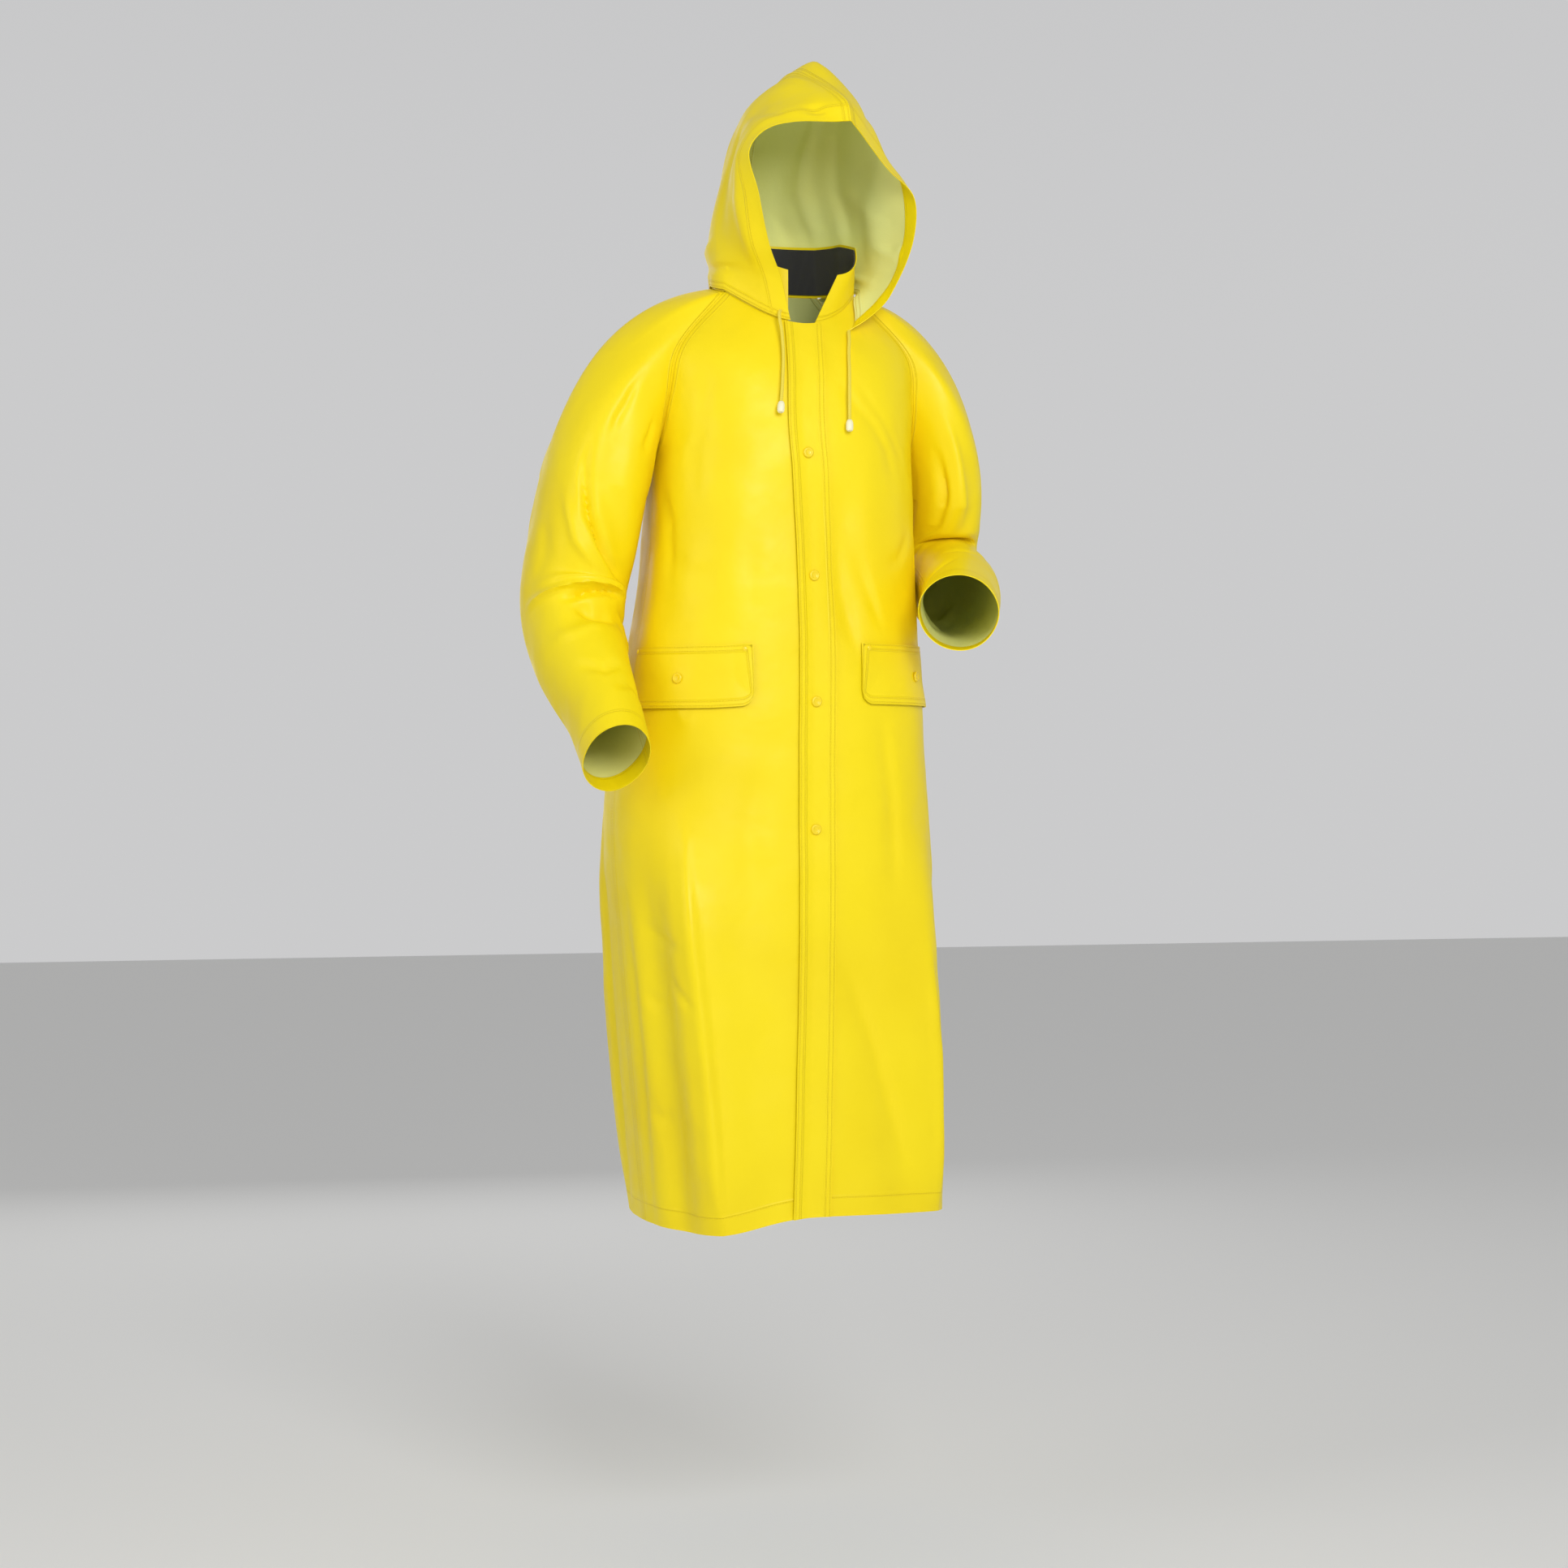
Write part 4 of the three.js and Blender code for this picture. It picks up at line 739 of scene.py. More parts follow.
def sleeve_point(side, place_round, along):
    """A sleeve's point: along runs from the raglan seam (-1) by the arm (0) to the cuff (1)."""
    rows, folds = (ARM_RIGHT, FOLDS_RIGHT) if side < 0 else (ARM_LEFT, FOLDS_LEFT)
    r = np.mod(place_round, 1.0)
    arm = arm_point(side, rows, ARM_FRONTS[side], folds, r, along)
    start = sleeve_start(side, r)
    leave = {name: read(SLEEVE_START, "round", name, r) for name in list(SLEEVE_START)[1:]}
    out = start + points_of(side * leave["out_x"], leave["out_y"], leave["out_z"])
    into = arm - arm_direction(rows, np.array(0.0)) * leave["into"][..., None]
    shoulder = bezier(start, out, into, arm, np.clip(along + 1, 0, 1))
    return np.where((along < 0)[..., None], shoulder, arm)


def arm_middle(side, along):
    """The middle of a sleeve, from its armhole down the arm."""
    rows = ARM_RIGHT if side < 0 else ARM_LEFT
    held = np.maximum(along, 0)
    arm = points_of(*(read(rows, "along", name, held) for name in "xyz"))
    hole = np.array(ARMHOLE_MIDDLE, float) * (side, 1, 1)
    return mix(arm, hole, np.clip(-along, 0, 1)[..., None])


def ease_elbow(grid, place_round, along):
    """Lets the cloth inside the bent left elbow bridge the bend, so that its rings cross less."""
    near = 1.0
    for place, (middle, half, fade) in ((along, ELBOW["along"]), (place_round, ELBOW["round"])):
        near = near * step(half - np.abs(place - middle), 0, fade)
    for _ in range(ELBOW["passes"]):
        between = (grid[:-2] + grid[2:]) / 2
        grid[1:-1] += 0.5 * near[1:-1, :, None] * (between - grid[1:-1])
    return grid


def sleeve_surface(side, place_round, along):
    """A sleeve's grid of points with its creases, rows running down and columns round."""
    grid = sleeve_point(side, place_round, along)
    if side > 0:
        grid = ease_elbow(grid, place_round, along)
    ring = grid[:, :-1]
    across = np.roll(ring, -1, axis=1) - np.roll(ring, 1, axis=1)
    across = np.concatenate([across, across[:, :1]], axis=1)
    normal = unit(np.cross(across, np.gradient(grid, axis=0)))
    wrong = np.sum(normal * (grid - arm_middle(side, along)), axis=-1) < 0
    normal = np.where(wrong[..., None], -normal, normal)
    p = place_round * ARM_ROUND_MM
    q = np.where(along < 0, along * SHOULDER_MM, along * ARM_LENGTH_MM)
    turn = 2 * np.pi * place_round
    ring_p, ring_q = DENT_RING * np.cos(turn), DENT_RING * np.sin(turn)
    depth = dents(ring_p + side * DENTS_APART["sleeve"], q + ring_q, DENT_SEEDS["sleeve"])
    for row in CREASES_RIGHT if side < 0 else CREASES_LEFT:
        for lap in (-1, 0, 1):
            depth = depth + crease(p + lap * ARM_ROUND_MM, q, *row)
    depth = depth * step(q, *(distance - SHOULDER_MM for distance in SLEEVE_FADE))
    # Where the rows crowd together in a bend, the creases are shallower to match
    crowding = np.linalg.norm(np.gradient(grid, axis=0), axis=-1) / (np.gradient(q, axis=0) + 1e-6)
    depth = depth * np.clip(crowding, 0.15, 1) ** 1.5
    return grid + normal * depth[..., None]


ARM_FRONTS = {-1: arm_fronts(ARM_RIGHT), 1: arm_fronts(ARM_LEFT)}
NECK_SAMPLES = 80
NECK_LOOK = 0.02


def neck_line(side):
    """The neckline of one side from the front centre to the back centre."""
    t = np.linspace(0, 1, NECK_SAMPLES)
    parts = [
        panel_point(True, side, t, 1.0),
        neck_arc(side, RAGLAN_FRONT, 1 - t)[1:],
        neck_arc(side, RAGLAN_BACK, t)[1:],
        panel_point(False, side, 1 - t, 1.0)[1:],
    ]
    line = np.concatenate(parts)
    run = np.concatenate([[0], np.cumsum(np.linalg.norm(np.diff(line, axis=0), axis=1))])
    return run / run[-1], line


NECK_LINES = {-1: neck_line(-1), 1: neck_line(1)}


def neck_place(side, share):
    """A place on the neckline, and the level direction away from the neck there."""
    shares, line = NECK_LINES[side]

    def at(s):
        return points_of(*(np.interp(s, shares, line[:, i]) for i in range(3)))

    run = at(np.minimum(share + NECK_LOOK, 1)) - at(np.maximum(share - NECK_LOOK, 0))
    out = unit(points_of(run[..., 1], -run[..., 0], 0 * run[..., 0])) * side
    return at(share), out


def collar_point(place, up):
    """The collar, from its left end (0) round the neck to its right end (1)."""
    left = place < 0.5
    position = place * 2 - 1
    points = []
    for side in (1, -1):
        share = 1 - np.abs(position) * (1 - COLLAR_ENDS[side])
        point, out = neck_place(side, share)
        opened = (1 - step(share, *COLLAR_OPEN_SHARES)) if side > 0 else np.zeros(np.shape(share))
        point = point - out * (COLLAR_LEAN * up * (1 - opened))[..., None]
        spread = (width * opened * up for width in COLLAR_OPEN)
        points.append(point + points_of(*spread, COLLAR_HEIGHT * up))
    return np.where(left[..., None], points[0], points[1])


HOOD_SPIN = np.array(Matrix.Rotation(math.radians(HOOD_TURN), 3, "Z"))
HOOD_AXIS = np.array((0.0, HOOD_AXIS_Y, 0.0))


def from_hood(points):
    return points @ HOOD_SPIN.T + HOOD_AXIS


def to_hood(points):
    return (points - HOOD_AXIS) @ HOOD_SPIN


def hood_neck(side, back):
    """The hood's neck edge, just outside the collar's foot."""
    chin_share, chin_fall = HOOD_CHIN[side]
    point, out = neck_place(side, mix(chin_share, 1, back))
    fall = (1 - step(back, 0, HOOD_CHIN_REACH)) * chin_fall
    low = panel_point(True, side, front_across(side, point[..., 0], 1.0), 1 - fall)
    point = np.where((fall > 0)[..., None], low, point)
    return point + points_of(0, 0, HOOD_RISE) + out * HOOD_STAND


def hood_point(side, back, up):
    """A hood half's point, back from the hem (0) and up from the neck (0) to the crown (1)."""
    table = HOOD_RIGHT if side < 0 else HOOD_LEFT
    stations = list(HOOD_STATIONS.values())
    feet = to_hood(hood_neck(side, np.array(stations, float)))
    values = []
    for foot, name in zip(feet, HOOD_STATIONS):
        rows = HOOD_BACK_SEAM if name == "back" else table[name]
        ups = (0, *rows["up"])
        line = [read_curve(ups, (foot[i], *rows[axis]), up) for i, axis in enumerate("xyz")]
        values.append(np.stack(line, axis=-1))
    values = np.array(values)
    point = from_hood(np.stack([read_curve(stations, values[..., i], back) for i in range(3)], axis=-1))
    foot = from_hood(np.stack([read_curve(stations, feet[:, i], back) for i in range(3)], axis=-1))
    missed = hood_neck(side, back) - foot
    return point + missed * np.clip(1 - up / HOOD_FOOT, 0, 1)[..., None]


def hood_surface(side, back, up):
    """A hood half with its creases, and the directions out of it."""
    base, normal = outwards(
        lambda b, u: hood_point(side, np.clip(b, 0, 1), np.clip(u, 0, 1)),
        back,
        up,
        lambda p: points_of(*HOOD_MIDDLE),
    )
    p, q = back * HOOD_WIDTH_MM, up * HOOD_HEIGHT_MM
    depth = dents(p + side * DENTS_APART["hood"], q, DENT_SEEDS["hood"])
    for row in CREASES_HOOD[side]:
        depth = depth + crease(p, q, *row)
    depth = depth * step(q, *HOOD_FADES["neck"])
    for distance in (HOOD_HEIGHT_MM - q, HOOD_WIDTH_MM - p):
        depth = depth * step(distance, *HOOD_FADES["crown"])
    return base + normal * depth[..., None], normal


# A distance that no seam or hem pattern reaches
FAR_MM = 900.0


def edge_marks(points, columns, rows, sewn, hemmed):
    """Two vectors a vertex: mm from the nearest sewn or hemmed edge, and mm along it."""
    grid = points.reshape(rows + 1, columns + 1, 3)
    across = np.zeros(grid.shape[:2])
    along = np.zeros(grid.shape[:2])
    across[:, 1:] = np.cumsum(np.linalg.norm(np.diff(grid, axis=1), axis=2), axis=1)
    along[1:] = np.cumsum(np.linalg.norm(np.diff(grid, axis=0), axis=2), axis=0)
    distances = {
        "left": (across, along),
        "right": (across[:, -1:] - across, along),
        "middle": (np.abs(across - across[:, columns // 2][:, None]), along),
        "bottom": (along, across),
        "top": (along[-1:] - along, across),
    }
    marks = []
    for edges in (sewn, hemmed):
        nearest = np.full(across.shape, FAR_MM)
        run = np.zeros(across.shape)
        for name in edges:
            distance, its_run = distances[name]
            closer = distance < nearest
            run = np.where(closer, its_run, run)
            nearest = np.where(closer, distance, nearest)
        marks.append(points_of(nearest, run, 0).reshape(-1, 3))
    return marks


# Points of a closed ring, and of a turned part's axis, that are nearer are one, in metres
CLOSED_GAP = 2e-5
POLE_GAP = 1e-6


def add_object(name, mesh, materials):
    for material in materials:
        mesh.materials.append(material)
    piece = bpy.data.objects.new(name, mesh)
    bpy.context.scene.collection.objects.link(piece)
    return piece


def finish_piece(piece, node):
    """The piece stands for a solid and moves with the coat."""
    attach(piece, "root")
    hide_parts(node)


def add_cloth(name, grid, place, materials, wall_mm, sewn=(), hemmed=(), flip=False, closed=False):
    """A sheet of cloth from a grid whose points place() puts, with its wall on the inner side."""
    columns, rows = grid
    bm = bmesh.new()
    bm.loops.layers.uv.new("UVMap")
    bmesh.ops.create_grid(bm, x_segments=columns, y_segments=rows, size=1, calc_uvs=True)
    bm.verts.ensure_lookup_table()
    flat = np.array([vert.co[:2] for vert in bm.verts])
    column = np.rint((flat[:, 0] + 1) / 2 * columns).astype(int)
    row = np.rint((flat[:, 1] + 1) / 2 * rows).astype(int)
    v, u = np.meshgrid(np.linspace(0, 1, rows + 1), np.linspace(0, 1, columns + 1), indexing="ij")
    points = place(u.ravel(), v.ravel())
    seam, hem = edge_marks(points, columns, rows, sewn, hemmed)
    seam_layer = bm.verts.layers.float_vector.new("seam")
    hem_layer = bm.verts.layers.float_vector.new("hem")
    order = row * (columns + 1) + column
    for vert, i in zip(bm.verts, order):
        vert.co = points[i] * MM
        vert[seam_layer] = seam[i]
        vert[hem_layer] = hem[i]
    if closed:
        bmesh.ops.remove_doubles(bm, verts=bm.verts, dist=CLOSED_GAP)
    if flip:
        bmesh.ops.reverse_faces(bm, faces=bm.faces)
    for face in bm.faces:
        face.smooth = True
    mesh = bpy.data.meshes.new(name)
    bm.to_mesh(mesh)
    bm.free()
    piece = add_object(name, mesh, materials)
    if wall_mm:
        add_wall(piece, wall_mm)
    return piece


def add_wall(piece, wall_mm):
    """Gives a sheet its thickness, with its second material inside."""
    wall = piece.modifiers.new("Wall", "SOLIDIFY")
    wall.thickness = wall_mm * MM
    wall.offset = -1
    wall.material_offset = 1 if len(piece.data.materials) > 1 else 0
    wall.material_offset_rim = 0
    seen = piece.evaluated_get(bpy.context.evaluated_depsgraph_get())
    made = bpy.data.meshes.new_from_object(seen)
    piece.modifiers.clear()
    plain, piece.data = piece.data, made
    bpy.data.meshes.remove(plain)
    made.name = piece.name
    made.set_sharp_from_angle(angle=math.radians(SHARP_DEGREES["cloth"]))


def add_turned(name, profile, sides, point, axis, materials):
    """A turned part: a profile of (radius, level) in mm, spun and stood on a point."""
    bm = bmesh.new()
    verts = [bm.verts.new((radius * MM, 0, level * MM)) for radius, level in profile]
    edges = [bm.edges.new(pair) for pair in zip(verts, verts[1:])]
    bmesh.ops.spin(
        bm,
        geom=verts + edges,
        cent=(0, 0, 0),
        axis=(0, 0, 1),
        dvec=(0, 0, 0),
        angle=math.tau,
        steps=sides,
        use_merge=True,
        use_duplicate=False,
    )
    bmesh.ops.remove_doubles(bm, verts=bm.verts, dist=POLE_GAP)
    bmesh.ops.recalc_face_normals(bm, faces=bm.faces)
    turn = Vector((0, 0, 1)).rotation_difference(Vector(axis)).to_matrix().to_4x4()
    bmesh.ops.transform(bm, matrix=Matrix.Translation(Vector(point) * MM) @ turn, verts=bm.verts)
    for face in bm.faces:
        face.smooth = True
    mesh = bpy.data.meshes.new(name)
    bm.to_mesh(mesh)
    bm.free()
    mesh.set_sharp_from_angle(angle=math.radians(SHARP_DEGREES["turned"]))
    return add_object(name, mesh, materials)


def add_node(tree, kind, inputs=(), **settings):
    """A shader node with its settings, and its inputs' values or links by order or by name."""
    node = tree.nodes.new("ShaderNode" + kind)
    for name, value in settings.items():
        setattr(node, name, value)
    for key, value in inputs.items() if isinstance(inputs, dict) else enumerate(inputs):
        if isinstance(value, bpy.types.Node):
            value = value.outputs[0]
        if isinstance(value, bpy.types.NodeSocket):
            tree.links.new(value, node.inputs[key])
        else:
            node.inputs[key].default_value = value
    return node


def new_material(name, colour, roughness, ior=1.5):
    """An opaque material with one Principled shader."""
    material = bpy.data.materials.new(name)
    material.use_nodes = True
    material.diffuse_color = colour
    shader = material.node_tree.nodes["Principled BSDF"]
    shader.inputs["Base Color"].default_value = colour
    shader.inputs["Roughness"].default_value = roughness
    shader.inputs["IOR"].default_value = ior
    return material, material.node_tree, shader


# Real stitches are about 3 mm long and 0.5 mm wide. These are drawn wider, so that they
# show. Seam and hem are their distances from the edge, in mm.
STITCH = {"length": 3.6, "half_width": 1.0, "seam": (2.2, 7.4), "hem": 22}
# Cells of the wide tone, the handling marks, the small creases and the grain, in mm
CLOTH_CELLS = (190, 44, 19, 2.1)
RIB_MM = 2.4
# Lighter colour painted along the corduroy's rib tops, a painted highlight
CORDUROY_TOP_HIGHLIGHT = "2a2a38"
BRAID_MM = (4.2, 3.6)
# Darker colour painted between the cord's strands, a painted shade
BRAID_PAINTED_SHADE = "e2ca34"
SMOOTH = {"interpolation_type": "SMOOTHSTEP"}


def stitch_rows(tree, seam, hem):
    """Rows of stitches beside the sewn and the hemmed edges, 1 on the thread and 0 off it."""
    rows = 0.0
    for mark, at in ((seam, STITCH["seam"][0]), (seam, STITCH["seam"][1]), (hem, STITCH["hem"])):
        off = add_node(tree, "Math", (mark.outputs[0], at), operation="SUBTRACT")
        off = add_node(tree, "Math", (off,), operation="ABSOLUTE")
        thread = (off, STITCH["half_width"] * 0.4, STITCH["half_width"], 1, 0)
        line = add_node(tree, "MapRange", thread, **SMOOTH)
        place = add_node(tree, "Math", (mark.outputs[1], STITCH["length"] / 2), operation="PINGPONG")
        hole = (place, STITCH["length"] * 0.04, STITCH["length"] * 0.16, 0.25, 1)
        dash = add_node(tree, "MapRange", hole, **SMOOTH)
        row = add_node(tree, "Math", (line, dash), operation="MULTIPLY")
        rows = add_node(tree, "Math", (rows, row), operation="MAXIMUM")
    return rows


def coated_cloth(name, colours, inner):
    """PVC coated on knitted polyester and calendered: a smooth, even yellow skin with a
    soft gloss, a fine leathery grain and shallow handling marks. The inner face is the
    bare knit, pale and matt, with the coated cloth showing where a hem turns in."""
    coat, shade = tuple(colours.coat), tuple(colours.coat_shade)
    face = tuple(colours.backing) if inner else coat
    material, tree, shader = new_material(name, face, 0.8, 1.53)
    # Coats like this are calendered half matt, so the skin gives back less light
    shader.inputs["Specular IOR Level"].default_value = 0.1 if inner else 0.24
    place = add_node(tree, "TexCoord").outputs["Object"]
    seam, hem = (
        add_node(tree, "SeparateXYZ", (add_node(tree, "Attribute", attribute_name=edge).outputs["Vector"],))
        for edge in ("seam", "hem")
    )
    wide, marks, small, grain = (
        add_node(tree, "TexNoise", {"Vector": place, "Scale": 1000 / size, "Detail": 2.0, "Roughness": 0.55})
        for size in CLOTH_CELLS
    )
    stitches = stitch_rows(tree, seam, hem)

    uneven = add_node(tree, "MapRange", (wide, 0.38, 0.66, 0, 0.16), **SMOOTH)
    tone = add_node(tree, "Mix", {0: uneven, 6: face, 7: shade}, data_type="RGBA")
    rough_low, rough_high = (0.74, 0.86) if inner else (0.38, 0.52)
    roughness = add_node(tree, "MapRange", (marks, 0.3, 0.7, rough_low, rough_high), **SMOOTH)
    if inner:
        edge = (hem.outputs[0], STITCH["hem"] + 2.4, STITCH["hem"] + 3.2, 1, 0)
        turned = add_node(tree, "MapRange", edge, **SMOOTH)
        tone = add_node(tree, "Mix", {0: turned, 6: tone.outputs[2], 7: coat}, data_type="RGBA")
        roughness = add_node(tree, "Mix", {0: turned, 2: roughness, 3: 0.42})
    threads = add_node(tree, "Math", (stitches, 0.28), operation="MULTIPLY")
    tone = add_node(tree, "Mix", {0: threads, 6: tone.outputs[2], 7: shade}, data_type="RGBA")
    tree.links.new(tone.outputs[2], shader.inputs["Base Color"])
    tree.links.new(roughness.outputs[0], shader.inputs["Roughness"])

    # Heights in mm: the felled seam's and the hem's double cloth, the stitches'
    # grooves, the handling marks and the grain
    felled = (seam.outputs[0], STITCH["seam"][1] + 1.2, STITCH["seam"][1] + 3, 0.7, 0)
    doubled = (hem.outputs[0], STITCH["hem"] + 1.6, STITCH["hem"] + 3.4, 0.45, 0)
    doubles = [add_node(tree, "MapRange", values, **SMOOTH) for values in (felled, doubled)]
    height = add_node(tree, "Math", doubles, operation="ADD")
    for pattern, depth in ((stitches, -0.4), (marks, 1.1), (small, 0.3), (grain, 0.12 if inner else 0.035)):
        height = add_node(tree, "Math", (pattern, depth, height), operation="MULTIPLY_ADD")
    bump = add_node(tree, "Bump", {"Strength": 1.0, "Distance": MM, "Height": height})
    tree.links.new(bump.outputs[0], shader.inputs["Normal"])
    return material


def corduroy(name, colours):
    """Cut cotton cord: soft black ribs with no gloss, with a painted highlight that makes their tops a
    little lighter.
    Real ribs are about 1.4 mm apart. These are drawn coarser, so that they show."""
    material, tree, shader = new_material(name, tuple(colours.corduroy), 0.92)
    shader.inputs["Sheen Weight"].default_value = 0.4
    shader.inputs["Sheen Roughness"].default_value = 0.5
    along = add_node(tree, "SeparateXYZ", (add_node(tree, "UVMap", uv_map="UVMap"),))
    turns = add_node(tree, "Math", (along, math.tau / (RIB_MM * MM)), operation="MULTIPLY")
    ribs = add_node(tree, "Math", (turns,), operation="SINE")
    # Painted highlight: the ribs' tops are painted lighter, towards the highlight colour
    lit = add_node(tree, "MapRange", (ribs, -0.6, 1, 0, 0.55), **SMOOTH)
    tone = {0: lit, 6: tuple(colours.corduroy), 7: hexed(CORDUROY_TOP_HIGHLIGHT)}
    tone = add_node(tree, "Mix", tone, data_type="RGBA")
    tree.links.new(tone.outputs[2], shader.inputs["Base Color"])
    bump = add_node(tree, "Bump", {"Strength": 0.9, "Distance": 0.5 * MM, "Height": ribs})
    tree.links.new(bump.outputs[0], shader.inputs["Normal"])
    return material


def braided_cord(name, colours):
    """Braided polyester: strands that cross both ways round the cord, with painted shade between them. They
    are drawn coarser than real strands, so that they show."""
    material, tree, shader = new_material(name, tuple(colours.cord), 0.62)
    spot = add_node(tree, "SeparateXYZ", (add_node(tree, "UVMap", uv_map="UVMap"),))
    waves = []
    for hand in (1, -1):
        rounds, lengths = (math.tau / (spacing * MM) for spacing in BRAID_MM)
        lean = add_node(tree, "Math", (spot.outputs[0], hand * rounds), operation="MULTIPLY")
        turn = add_node(tree, "Math", (spot.outputs[1], lengths, lean), operation="MULTIPLY_ADD")
        waves.append(add_node(tree, "Math", (turn,), operation="SINE"))
    braid = add_node(tree, "Math", waves, operation="MULTIPLY")
    # Painted shade: the hollows between the strands are painted darker
    dark = add_node(tree, "MapRange", (braid, -0.7, 0.3, 0.4, 0), **SMOOTH)
    tone = {0: dark, 6: tuple(colours.cord), 7: hexed(BRAID_PAINTED_SHADE)}
    tone = add_node(tree, "Mix", tone, data_type="RGBA")
    tree.links.new(tone.outputs[2], shader.inputs["Base Color"])
    bump = add_node(tree, "Bump", {"Strength": 0.8, "Distance": 0.4 * MM, "Height": braid})
    tree.links.new(bump.outputs[0], shader.inputs["Normal"])
    return material


def moulded(name, colour, roughness, grain_mm):
    """Small hard parts: moulded or enamelled, smooth, with a faint unevenness."""
    material, tree, shader = new_material(name, colour, roughness)
    place = add_node(tree, "TexCoord").outputs["Object"]
    spread = add_node(tree, "TexNoise", {"Vector": place, "Scale": 1000 / grain_mm, "Detail": 2.0})
    worn = add_node(tree, "MapRange", (spread, 0.35, 0.7, roughness - 0.06, roughness + 0.1), **SMOOTH)
    tree.links.new(worn.outputs[0], shader.inputs["Roughness"])
    bump = add_node(tree, "Bump", {"Strength": 0.3, "Distance": 0.2 * MM, "Height": spread})
    tree.links.new(bump.outputs[0], shader.inputs["Normal"])
    return material


def materials_for(context):
    """The coat's materials by name, made once."""
    colours = context.scene.raincoat_colours
    makers = {
        "PVC coated cloth": lambda n: coated_cloth(n, colours, False),
        "Knitted polyester backing": lambda n: coated_cloth(n, colours, True),
        "Cotton corduroy": lambda n: corduroy(n, colours),
        "Braided polyester cord": lambda n: braided_cord(n, colours),
        "Moulded nylon cord end": lambda n: moulded(n, tuple(colours.cord_end), 0.42, 3),
        "Enamelled snap cap": lambda n: moulded(n, tuple(colours.snap), 0.3, 4),
    }
    return {n: bpy.data.materials.get(n) or make(n) for n, make in makers.items()}


class RaincoatSizes(bpy.types.PropertyGroup):
    cloth: FloatProperty(
        name="Cloth",
        description="Thickness of the cloth's wall, which is thicker than the real cloth",
        default=0.0011,
        min=0.0004,
        max=0.0016,
        subtype="DISTANCE",
        unit="LENGTH",
    )
    cord: FloatProperty(
        name="Drawcord",
        description="Diameter of the drawcords",
        default=0.004,
        min=0.003,
        max=0.006,
        subtype="DISTANCE",
        unit="LENGTH",
    )
    floor_level: FloatProperty(
        name="Floor",
        description="Height of the floor below the coat's shoulders",
        default=-1.557,
        subtype="DISTANCE",
        unit="LENGTH",
    )


def colour_property(name, description, code):
    """A colour that a user can change, with an sRGB hex default."""
    return FloatVectorProperty(
        name=name,
        description=description,
        default=hexed(code),
        size=4,
        min=0,
        max=1,
        subtype="COLOR",
    )


class RaincoatColours(bpy.types.PropertyGroup):
    coat: colour_property("Coat", "Outer face of the coated cloth", "fbe210")
    coat_shade: colour_property("Coat, darker", "Yellow of uneven places and stitches", "e6c004")
    backing: colour_property("Backing", "Knitted inner face of the cloth", "ecf2a0")
    corduroy: colour_property("Corduroy", "Inner face of the collar", "0e0e18")
    cord: colour_property("Drawcord", "Braided drawcords", "fae650")
    cord_end: colour_property("Cord end", "Moulded ends of the drawcords", "f6f2cc")
    snap: colour_property("Snap", "Caps of the snaps and rivets", "f8da1c")


def cloth_of(context):
    """The coat's outer and inner materials, and its wall in mm."""
    looks = materials_for(context)
    wall_mm = context.scene.raincoat_sizes.cloth / MM
    return [looks["PVC coated cloth"], looks["Knitted polyester backing"]], wall_mm


def finish_sheet(piece, node):
    """Puts a sheet in its solid's place."""
    finish_piece(piece, node)


def heights_of(v):
    """Heights on a panel: the skirt's share of the rows is evenly spaced, then the yoke's."""
    return np.where(v < SKIRT_ROWS, v / SKIRT_ROWS - 1, (v - SKIRT_ROWS) / (1 - SKIRT_ROWS))


class RAINCOAT_OT_body(bpy.types.Operator):
    """Adds the two fronts and the back"""

    bl_idname = "raincoat.body"
    bl_label = "Fronts and Back"

    def execute(self, context):
        cloth, wall = cloth_of(context)
        for name, side in (("front_right", -1), ("front_left", 1)):

            def place(u, v, side=side):
                across = u if side > 0 else 1 - u
                points, _ = panel_surface(True, side, across, heights_of(v))
                return points

            sewn = ("right",) if side > 0 else ("left",)
            grid = GRIDS["front"]
            piece = add_cloth(name + "_cloth", grid, place, cloth, wall, sewn=sewn, hemmed=("bottom",))
            finish_sheet(piece, name)

        def place_back(u, v):
            side_left, _ = panel_surface(False, 1, np.abs(1 - 2 * u), heights_of(v))
            side_right, _ = panel_surface(False, -1, np.abs(1 - 2 * u), heights_of(v))
            return np.where((u < 0.5)[..., None], side_left, side_right)

        edges = {"sewn": ("left", "right"), "hemmed": ("bottom",)}
        piece = add_cloth("back_cloth", GRIDS["back"], place_back, cloth, wall, **edges)
        finish_sheet(piece, "back")
        return {"FINISHED"}


class RAINCOAT_OT_sleeves(bpy.types.Operator):
    """Adds the two raglan sleeves"""

    bl_idname = "raincoat.sleeves"
    bl_label = "Sleeves"

    def execute(self, context):
        cloth, wall = cloth_of(context)
        for name, side in (("sleeve_right", -1), ("sleeve_left", 1)):

            def place(u, v, side=side):
                shoulder = v / SHOULDER_ROWS - 1
                along = np.where(v < SHOULDER_ROWS, shoulder, (v - SHOULDER_ROWS) / (1 - SHOULDER_ROWS))
                size = tuple(cells + 1 for cells in reversed(GRIDS["sleeve"]))
                return sleeve_surface(side, u.reshape(size), along.reshape(size)).reshape(-1, 3)

            piece = add_cloth(
                name + "_cloth",
                GRIDS["sleeve"],
                place,
                cloth,
                wall,
                sewn=("bottom", "middle"),
                hemmed=("top",),
                flip=side < 0,
                closed=True,
            )
            finish_sheet(piece, name)
        return {"FINISHED"}


